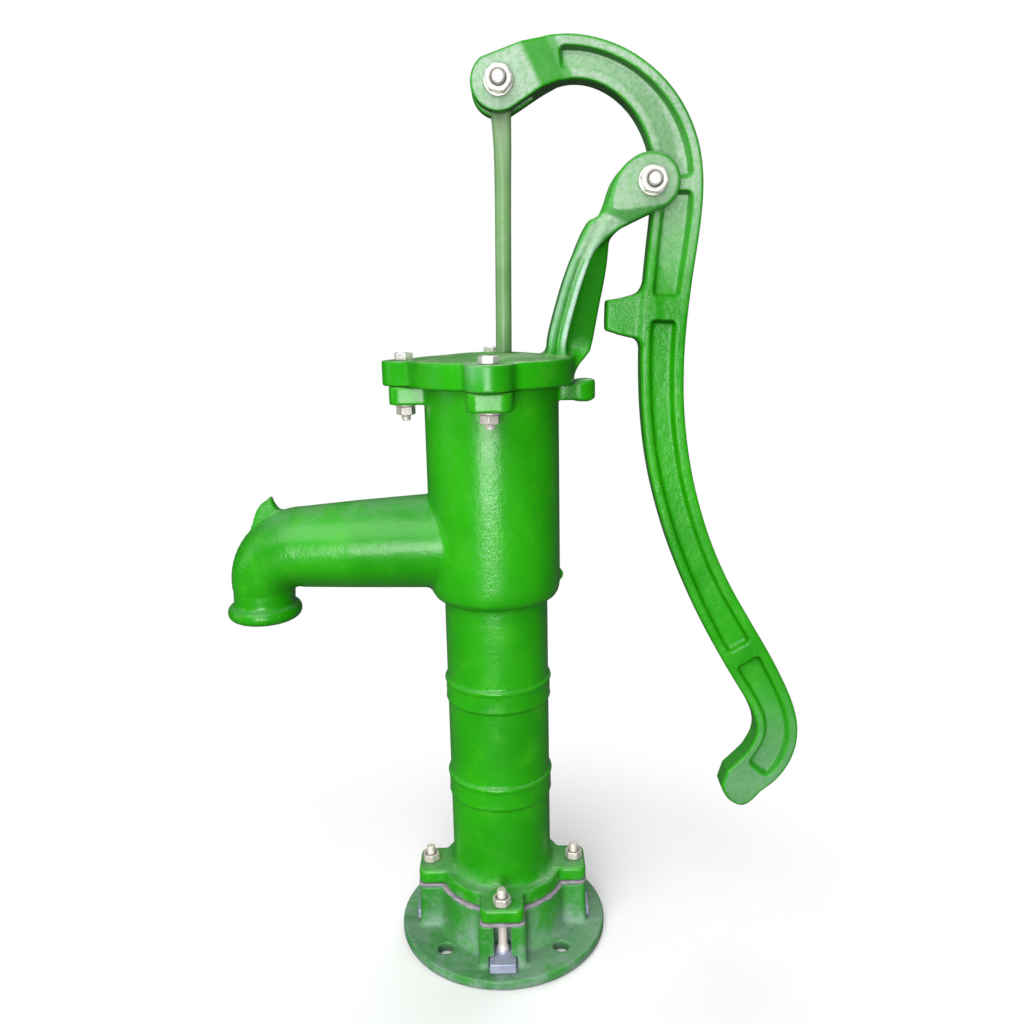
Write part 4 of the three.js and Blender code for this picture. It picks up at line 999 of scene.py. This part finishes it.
def rod_sdf(x, y, z):
    dist, radius = ROD_FIELD(x, z)
    solid = disc(dist, y, radius)
    eye = meet(from_clevis(x, z) - 12, np.abs(y) - 7.3, 1.4)
    # grooved neck that tapers down from the eye
    taper = np.clip((672 - z) / 66, 0, 1)
    mid_x = 11.5 + 1.2 * np.clip(taper * 2, 0, 1)
    neck = plate(x - mid_x, y, z, half=(8.0 - 3.2 * taper ** 0.8, 7.0 - 2.2 * taper),
                 corner=3.2 + 1.2 * taper, span=(600, 676), edge=1.5)
    groove = disc((x - mid_x) / 1.3, np.abs(y) - 8.6, 2.9)
    groove = groove + 3.4 * np.clip((668 - z) / 62, 0, 1)
    neck = cut(neck, groove, 1.2)
    solid = join(solid, join(eye, neck, 3.0), 1.2)
    # slotted loop at the foot
    loop_z = z - 255.4
    loop = meet(stadium(x, loop_z, 9, 13), np.abs(y) - 6.5, 1.6)
    solid = join(solid, loop, 3.0)
    solid = cut(solid, stadium(x, loop_z, 8.8, 8.2), 0.8)
    return cut(solid, from_clevis(x, z) - PIN_HOLE_R, 0.5)


make("rod_forging", "pump_rod", "rod", ROD, rod_sdf, ((-26, -10, 238), (30, 10, 700)),
     step=0.8, keep=0.5, margin=3)

# =================================================================== gasket


def gasket_sdf(x, y, z):
    """Follows the flange outline with an uneven, slightly squeezed-out edge."""
    rad = hypot(x, y)
    arm, off = fold(x, y)
    turn = np.arctan2(y, x)
    wobble = (0.35 * np.sin(9 * turn + 1.3) + 0.25 * np.sin(23 * turn)
              + 0.2 * np.sin(41 * turn + 0.5))
    tabs = rect(arm - 50.4, off, 21.6 + 0.4 * wobble, 18.4, 6.0)
    plan = join(rad - 54.6 - wobble, tabs, 1.5)
    solid = meet(plan, slab(z, 44.85, 47.55) + 0.25 * np.sin(13 * turn + 0.7), 1.0)
    solid = np.maximum(solid, -(rad - 30))
    return np.maximum(solid, -disc(arm - BASE_BOLT_R, off, BOLT_HOLE_R))


make("gasket_ring", "base_gasket", "stand", GASKET, gasket_sdf, around(78, 43.5, 49.2),
     step=0.75, keep=0.35)

# ================================================================ fasteners
# radius: over the thread; flats: across the hexagon; head, nut, washer: heights
M6 = dict(radius=3.0, flats=10, head=4.0, nut=5.2, pitch=1.0, depth=0.5)
M8 = dict(radius=3.85, flats=13, head=5.3, nut=6.5, washer_r=8, washer=1.6, pitch=1.25,
          depth=0.75)
M10 = dict(radius=4.85, flats=17.4, head=6.4, nut=8.4, washer_r=10.5, washer=2.0, pitch=1.5,
           depth=0.75)
GAP = 0.3          # air between stacked fasteners
PAD = 1.5          # room around a fastener in its meshing box


def hexagon(x, y, z, flats, high, both=True):
    """Hexagonal block from z=0 up with chamfered corners on top, or on both ends."""
    c, s = 0.5, math.sqrt(3) / 2
    sides = np.maximum(np.maximum(np.abs(x), np.abs(c * x + s * y)), np.abs(c * x - s * y))
    solid = meet(sides - flats / 2, slab(z, 0.0, high), 0.25)
    cone = hypot(x, y) - flats / 2 * 0.985
    solid = np.maximum(solid, (cone - (high - z) * 1.75) * 0.5)
    return np.maximum(solid, (cone - z * 1.75) * 0.5) if both else solid


def thread(x, y, z, radius, pitch, depth):
    phase = z / pitch - np.arctan2(y, x) / (2 * math.pi)
    ridge = np.abs((phase % 1.0) - 0.5) * 2
    return hypot(x, y) - (radius - depth * ridge)


def bolt_sdf(size, length, threaded):
    """Head from z=0 up, shank down to -length."""
    radius, flats, head = size["radius"], size["flats"], size["head"]

    def sdf(x, y, z):
        shank = thread(x, y, z, radius, size["pitch"], size["depth"])
        shank = np.where(z < -length + threaded, shank, disc(x, y, radius))
        shank = np.maximum(shank * 0.8, slab(z, -length, 1.0))
        shank = np.maximum(shank, (disc(x, y, radius) + 1.2 - (z + length) * 1.0) * 0.7)
        top = hexagon(x, y, z, flats, head, both=False)
        # shallow dish inside a raised rim on top of the head
        dish = disc(x, y, flats * 0.36) + np.maximum(0, (head - 0.35 - z) * 8)
        return np.minimum(cut(top, dish, 0.3), shank)
    return sdf


def nut_sdf(size):
    radius, height = size["radius"], size["nut"]

    def sdf(x, y, z):
        solid = hexagon(x, y, z, size["flats"], height)
        solid = np.maximum(solid, -(disc(x, y, radius) - 0.35))
        chamfer = disc(x, y, radius + 0.5) - np.maximum(0, 1.1 - np.minimum(z, height - z))
        return np.maximum(solid, -chamfer)
    return sdf


def washer_sdf(size):
    def sdf(x, y, z):
        ring = meet(disc(x, y, size["washer_r"]), slab(z, 0, size["washer"]), 0.35)
        return np.maximum(ring, -(disc(x, y, size["radius"]) - 0.35))
    return sdf


def hex_box(size, low, high):
    return around(size["flats"] * 0.6 + PAD, low - PAD, high + PAD)


def bolt_mesh(size, length, threaded, step):
    return mesh_sdf(bolt_sdf(size, length, threaded), *hex_box(size, -length, size["head"]),
                    step, steps=2)


def nut_mesh(size, step):
    return mesh_sdf(nut_sdf(size), *hex_box(size, 0, size["nut"]), step, steps=2)


def washer_mesh(size, step):
    box = around(size["washer_r"] + PAD, -PAD, size["washer"] + PAD)
    return mesh_sdf(washer_sdf(size), *box, step, steps=2)


def fit(name, mesh, axis, pos, look, rider, turn=0.0):
    verts, quads = mesh
    to_object(name, name, rider, look, place(verts, axis, pos, turn), quads)


SIDES = {"right": (1, 0), "back": (0, 1), "left": (-1, 0), "front": (0, -1)}
TURN = {"left": 0.25, "front": 0.42, "back": 0.1, "right": 0.33}

# cap bolts: head on the cap, washer and nut under the ear
HEAD_Z = 490.9
WASHER_Z = 457.2 - M8["washer"]
NUT_Z = WASHER_Z - GAP - M8["nut"]
CAP_BOLT = bolt_mesh(M8, HEAD_Z - (NUT_Z - 4.5), threaded=16, step=0.42)
WASHER_8 = washer_mesh(M8, step=0.42)
NUT_8 = nut_mesh(M8, step=0.42)
for side in ("left", "front", "back"):
    x, y = [CAP_BOLT_R * part for part in SIDES[side]]
    fit(f"cap_bolt_{side}", CAP_BOLT, "+Z", (x, y, HEAD_Z), ZINC, "stand", TURN[side])
    fit(f"cap_washer_{side}", WASHER_8, "+Z", (x, y, WASHER_Z), ZINC_DUSTY, "stand")
    fit(f"cap_nut_{side}", NUT_8, "+Z", (x, y, NUT_Z), ZINC_DUSTY, "stand", TURN[side] + 0.5)


def tee_sdf(x, y, z, reach):
    """T-bolt with its head reaching along local +X, z as in the barrel frame."""
    back, tip, root = 7.5, 73.2, 12
    head = plate(x - (reach - back) / 2, y, z, half=((reach + back) / 2, 10.7), corner=1.4,
                 span=(8.6, 16.9), edge=0.9)
    shank = thread(x, y, z, M8["radius"], M8["pitch"], 0.7)
    shank = np.where(z > 46, shank, disc(x, y, M8["radius"]))
    shank = np.maximum(shank * 0.8, slab(z, root, tip))
    shank = np.maximum(shank, (disc(x, y, 3.0) - (tip - z)) * 0.7)
    neck = disc(x, y, M8["radius"]) - 1.6 * np.clip((23.5 - z) / 5, 0, 1)
    neck = np.maximum(neck, slab(z, root, 23.5))
    return join(np.minimum(shank, neck), head, 0.8)


TEES = {reach: mesh_sdf(lambda x, y, z: tee_sdf(x, y, z, reach), (-9.5, -12.5, 6.5),
                        (20, 12.5, 77), 0.45, steps=2) for reach in (18.0, 12.5)}
for side, (c, s) in SIDES.items():
    tee, quads = TEES[18.0 if side == "front" else 12.5]
    verts = np.stack([tee[:, 0] * c - tee[:, 1] * s + BASE_BOLT_R * c,
                      tee[:, 0] * s + tee[:, 1] * c + BASE_BOLT_R * s, tee[:, 2]], 1)
    name = f"base_t_bolt_{side}"
    to_object(name, name, "stand", FORGED, verts, quads, keep=0.7)
    fit(f"base_nut_{side}", NUT_8, "+Z", (BASE_BOLT_R * c, BASE_BOLT_R * s, 60.2), ZINC_DUSTY,
        "stand", TURN[side])

WASHER_10 = washer_mesh(M10, step=0.45)
NUT_10 = nut_mesh(M10, step=0.48)


def pivot(prefix, x, z, face, rider):
    """Bolt along Y with its head at the back and its nut in front; face is half the grip."""
    washer = M10["washer"]
    fit(f"{prefix}_washer_front", WASHER_10, "-Y", (x, -face - GAP, z), ZINC, rider)
    fit(f"{prefix}_washer_back", WASHER_10, "+Y", (x, face + GAP, z), ZINC, rider)
    fit(f"{prefix}_nut", NUT_10, "-Y", (x, -face - 2 * GAP - washer, z), ZINC, rider, 0.35)
    length = 2 * face + 2 * washer + 2 * GAP + M10["nut"] + 3.5
    bolt = bolt_mesh(M10, length, threaded=18, step=0.48)
    fit(f"{prefix}_bolt", bolt, "+Y", (x, face + 2 * GAP + washer, z), ZINC, rider, 0.2)


pivot("fulcrum", FULCRUM_X, FULCRUM_Z, 20, "stand")
pivot("clevis", CLEVIS_X, CLEVIS_Z, 17, "lever")

# ======================================================== piston and valves
PISTON_Z = 206      # underside of the piston
PIN_Z = 257
SEAT_Z = 45.1       # underside of the foot valve's leather


def turned(name, node, rider, look, base, profile, box, step, keep, grid=0.6):
    """Revolve a (radius, height above base) profile about the barrel axis."""
    field = outline_field([(rad, base + up) for rad, up in profile], pad=6, step=grid)
    make(name, node, rider, look, lambda x, y, z: field(hypot(x, y), z), box, step, keep)


turned("piston_base_turned", "piston_base", "piston", BRASS, PISTON_Z, [
    (13, 0), (33.4, 0), (35, 1.4), (35, 5.6), (33.8, 7), (21.5, 7), (21.5, 19.2), (20.7, 20),
    (13.6, 20), (13, 19.4)], around(38, PISTON_Z - 3, PISTON_Z + 24), step=0.9, keep=0.5)
turned("cup_leather_piece", "cup_leather", "piston", LEATHER, PISTON_Z, [
    (21.9, 7.3), (35, 7.3), (36.6, 9), (37.15, 13), (37.2, 28.6), (36.2, 30), (34.6, 29.2),
    (34.1, 13), (33, 10.8), (21.9, 10.6)], around(40, PISTON_Z + 4, PISTON_Z + 33),
    step=0.8, keep=0.5)

CAGE_BORE_R = 21.9
CAGE_RING = outline_field([(rad, PISTON_Z + up) for rad, up in (
    (CAGE_BORE_R, 10.9), (32.4, 10.9), (33.4, 12), (33.4, 16.6), (30.4, 19.4), (28.6, 25),
    (27.4, 26), (CAGE_BORE_R, 26))], pad=6, step=0.5)


def cage_sdf(x, y, z):
    """Ring with two arched cheeks that hold the pin."""
    absy = np.abs(y)
    arch = rect(x, z - (PISTON_Z + 38), 12.6, 25, 11.5)
    cheeks = meet(arch, np.abs(absy - 15) - 4.5, 1.4)
    solid = join(CAGE_RING(hypot(x, y), z), cheeks, 3.0)
    solid = cut(solid, disc(x, y, CAGE_BORE_R) + FAR * (z > PISTON_Z + 34), 0.8)
    solid = cut(solid, np.maximum(absy - 10.5, PISTON_Z + 26 - z), 0.6)
    return cut(solid, disc(x, z - PIN_Z, 5.1), 0.5)


def pin_sdf(x, y, z):
    return meet(disc(x, z, 4.8), np.abs(y) - 19, 0.9)


make("piston_cage_casting", "piston_cage", "piston", BRASS, cage_sdf,
     around(37, PISTON_Z + 8, 273), step=0.9, keep=0.5, margin=3)
make("piston_pin_turned", "piston_pin", "piston", ZINC, pin_sdf, ((-7, -22, -7), (7, 22, 7)),
     step=0.6, steps=2, move=("+Z", (0, 0, PIN_Z)))
turned("poppet_turned", "poppet_valve", "poppet", BRASS, PISTON_Z, [
    (-2, 4), (3.4, 4), (4, 4.8), (4, 16), (5.5, 18), (11, 20.35), (17.4, 20.4), (18, 21),
    (18, 23.6), (16.6, 24.6), (8.4, 26.2), (4, 27), (-2, 27)],
    around(21, PISTON_Z + 1, PISTON_Z + 30), step=0.7, keep=0.6, grid=0.4)


def flap_sdf(x, y, z):
    """Leather disc cut straight on +X and thinner towards it."""
    rad = hypot(x, y)
    top = SEAT_Z + 3.0 - 0.02 * np.maximum(x, 0)
    solid = meet(np.maximum(rad - 27, x - 23.8), slab(z, SEAT_Z, top), 0.7)
    return np.maximum(solid, -(rad - 3.4))


make("foot_valve_flap", "foot_valve_leather", "foot_valve", LEATHER, flap_sdf,
     around(30, 43, 52), step=0.8, keep=0.5)
turned("foot_valve_weight_casting", "foot_valve_weight", "foot_valve", IRON, SEAT_Z, [
    (3.4, 3.3), (17.2, 3.3), (18, 4.2), (18, 7.4), (17, 8.6), (9.4, 12.4), (8.4, 13),
    (3.4, 13)], around(21, 47, 62), step=0.7, keep=0.6, grid=0.4)
turned("foot_valve_underplate", "foot_valve_plate", "foot_valve", IRON, SEAT_Z, [
    (3.4, -3.3), (13.2, -3.3), (14, -2.5), (14, -0.3), (3.4, -0.3)],
    around(17, 40, 48), step=0.7, keep=0.6, grid=0.4)
make("foot_valve_screw_turned", "foot_valve_screw", "foot_valve", BRASS,
     bolt_sdf(M6, length=25.6, threaded=10), around(8, -28, 6), step=0.45, keep=0.6, steps=2,
     move=("-Z", (0, 0, SEAT_Z - 3.6)))
make("foot_valve_nut_turned", "foot_valve_nut", "foot_valve", BRASS, nut_sdf(M6),
     around(8, -2, 7), step=0.45, keep=0.6, steps=2, move=("+Z", (0, 0, SEAT_Z + 13.3)))

# ==================================================================== floor


def floor_material():
    """Pale floor that turns to plain white away from the pump; dim to all but the camera."""
    net = Shader("floor_pale")
    speck = net.ramp(net.noise(scale=40), over=(0.3, 0.7))
    net.set(Base_Color=net.mix(speck, (0.94, 0.94, 0.94), (0.96, 0.96, 0.96)), Roughness=0.9)
    pos = net.xyz(net.geometry("Position"))
    rad = net.math("SQRT", net.add(net.mul(pos[0], pos[0]), net.mul(pos[1], pos[1])))
    glow = net.new("ShaderNodeEmission")
    near = net.new("ShaderNodeMixShader")
    net.link(net.ramp(rad, over=(0.10, 0.36)), near.inputs[0])
    net.link(net.bsdf.outputs[0], near.inputs[1])
    net.link(glow.outputs[0], near.inputs[2])
    dim = net.new("ShaderNodeBsdfDiffuse")
    dim.inputs[0].default_value = (0.13, 0.13, 0.13, 1)
    seen = net.new("ShaderNodeMixShader")
    net.link(net.new("ShaderNodeLightPath").outputs["Is Camera Ray"], seen.inputs[0])
    net.link(dim.outputs[0], seen.inputs[1])
    net.link(near.outputs[0], seen.inputs[2])
    net.link(seen.outputs[0], net.out.inputs[0])
    return net.mat


grid = bmesh.new()
bmesh.ops.create_grid(grid, x_segments=8, y_segments=8, size=6)
floor_mesh = bpy.data.meshes.new("floor")
grid.to_mesh(floor_mesh)
grid.free()
floor = bpy.data.objects.new("floor", floor_mesh)
floor.location.z = -0.0006
bpy.context.scene.collection.objects.link(floor)
floor_mesh.materials.append(floor_material())
floor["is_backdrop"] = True

# ==================================================================== world
world = bpy.data.worlds.new("studio")
bpy.context.scene.world = world
world.use_nodes = True
tree = world.node_tree
tree.nodes.clear()
world_out = tree.nodes.new("ShaderNodeOutputWorld")
rays = tree.nodes.new("ShaderNodeLightPath").outputs


def backdrop(strength):
    node = tree.nodes.new("ShaderNodeBackground")
    node.inputs[0].default_value = (1, 1, 1, 1)
    node.inputs[1].default_value = strength
    return node.outputs[0]


def pick(ray, others, these):
    node = tree.nodes.new("ShaderNodeMixShader")
    for i, source in enumerate((rays[ray], others, these)):
        tree.links.new(source, node.inputs[i])
    return node.outputs[0]


soft = pick("Is Glossy Ray", others=backdrop(0.27), these=backdrop(0.07))
tree.links.new(pick("Is Camera Ray", others=soft, these=backdrop(1.0)), world_out.inputs[0])

# ======================================================== lights and camera


def area(name, loc, aim_z, size, power):
    """Area light aimed at a height on the world Z axis."""
    light = bpy.data.lights.new(name, "AREA")
    light.shape = "RECTANGLE"
    light.size, light.size_y = size
    light.energy = power
    ob = bpy.data.objects.new(name, light)
    ob.location = loc
    aim = Vector((0, 0, aim_z)) - Vector(loc)
    ob.rotation_euler = aim.to_track_quat("-Z", "Y").to_euler()
    bpy.context.scene.collection.objects.link(ob)


area("key", (-0.8, -1.9, 2.5), aim_z=0.40, size=(3.0, 2.2), power=78)
area("front", (-0.28, -2.1, 0.42), aim_z=0.34, size=(0.95, 0.8), power=27)
area("low_strip", (-0.2, -1.6, 0.10), aim_z=0.26, size=(0.8, 0.16), power=6)
area("left_fill", (-2.2, -0.4, 0.9), aim_z=0.4, size=(1.0, 1.4), power=6)
area("back_top", (0.5, 1.2, 1.9), aim_z=0.4, size=(1.2, 1.0), power=14)

PITCH = math.radians(13.0)     # camera looks down by this
ROLL = 0.0195                  # sideways lean, as a slope
lens = bpy.data.cameras.new("camera")
lens.lens = 31.7109375
lens.sensor_width = 36
lens.clip_start = 0.02
camera = bpy.data.objects.new("camera", lens)
bpy.context.scene.collection.objects.link(camera)
forward = Vector((0, math.cos(PITCH), -math.sin(PITCH)))
level = Vector((1, 0, 0))
upright = level.cross(forward)
right = (level - ROLL * upright).normalized()
up = (upright + ROLL * level).normalized()
pose = Matrix((right, up, -forward)).transposed().to_4x4()
pose.translation = Vector(((14.2 + DX) / 1000, -0.700, 0.531))
camera.matrix_world = pose
bpy.context.scene.camera = camera
view = bpy.context.scene.view_settings
view.view_transform = "Standard"
view.look = "None"
view.exposure = 0.0

VIS_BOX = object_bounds()
boxes = {"cad": CAD_BOX, "visual": VIS_BOX}
{key: [list(map(float, corner)) for corner in box] for key, box in boxes.items()}
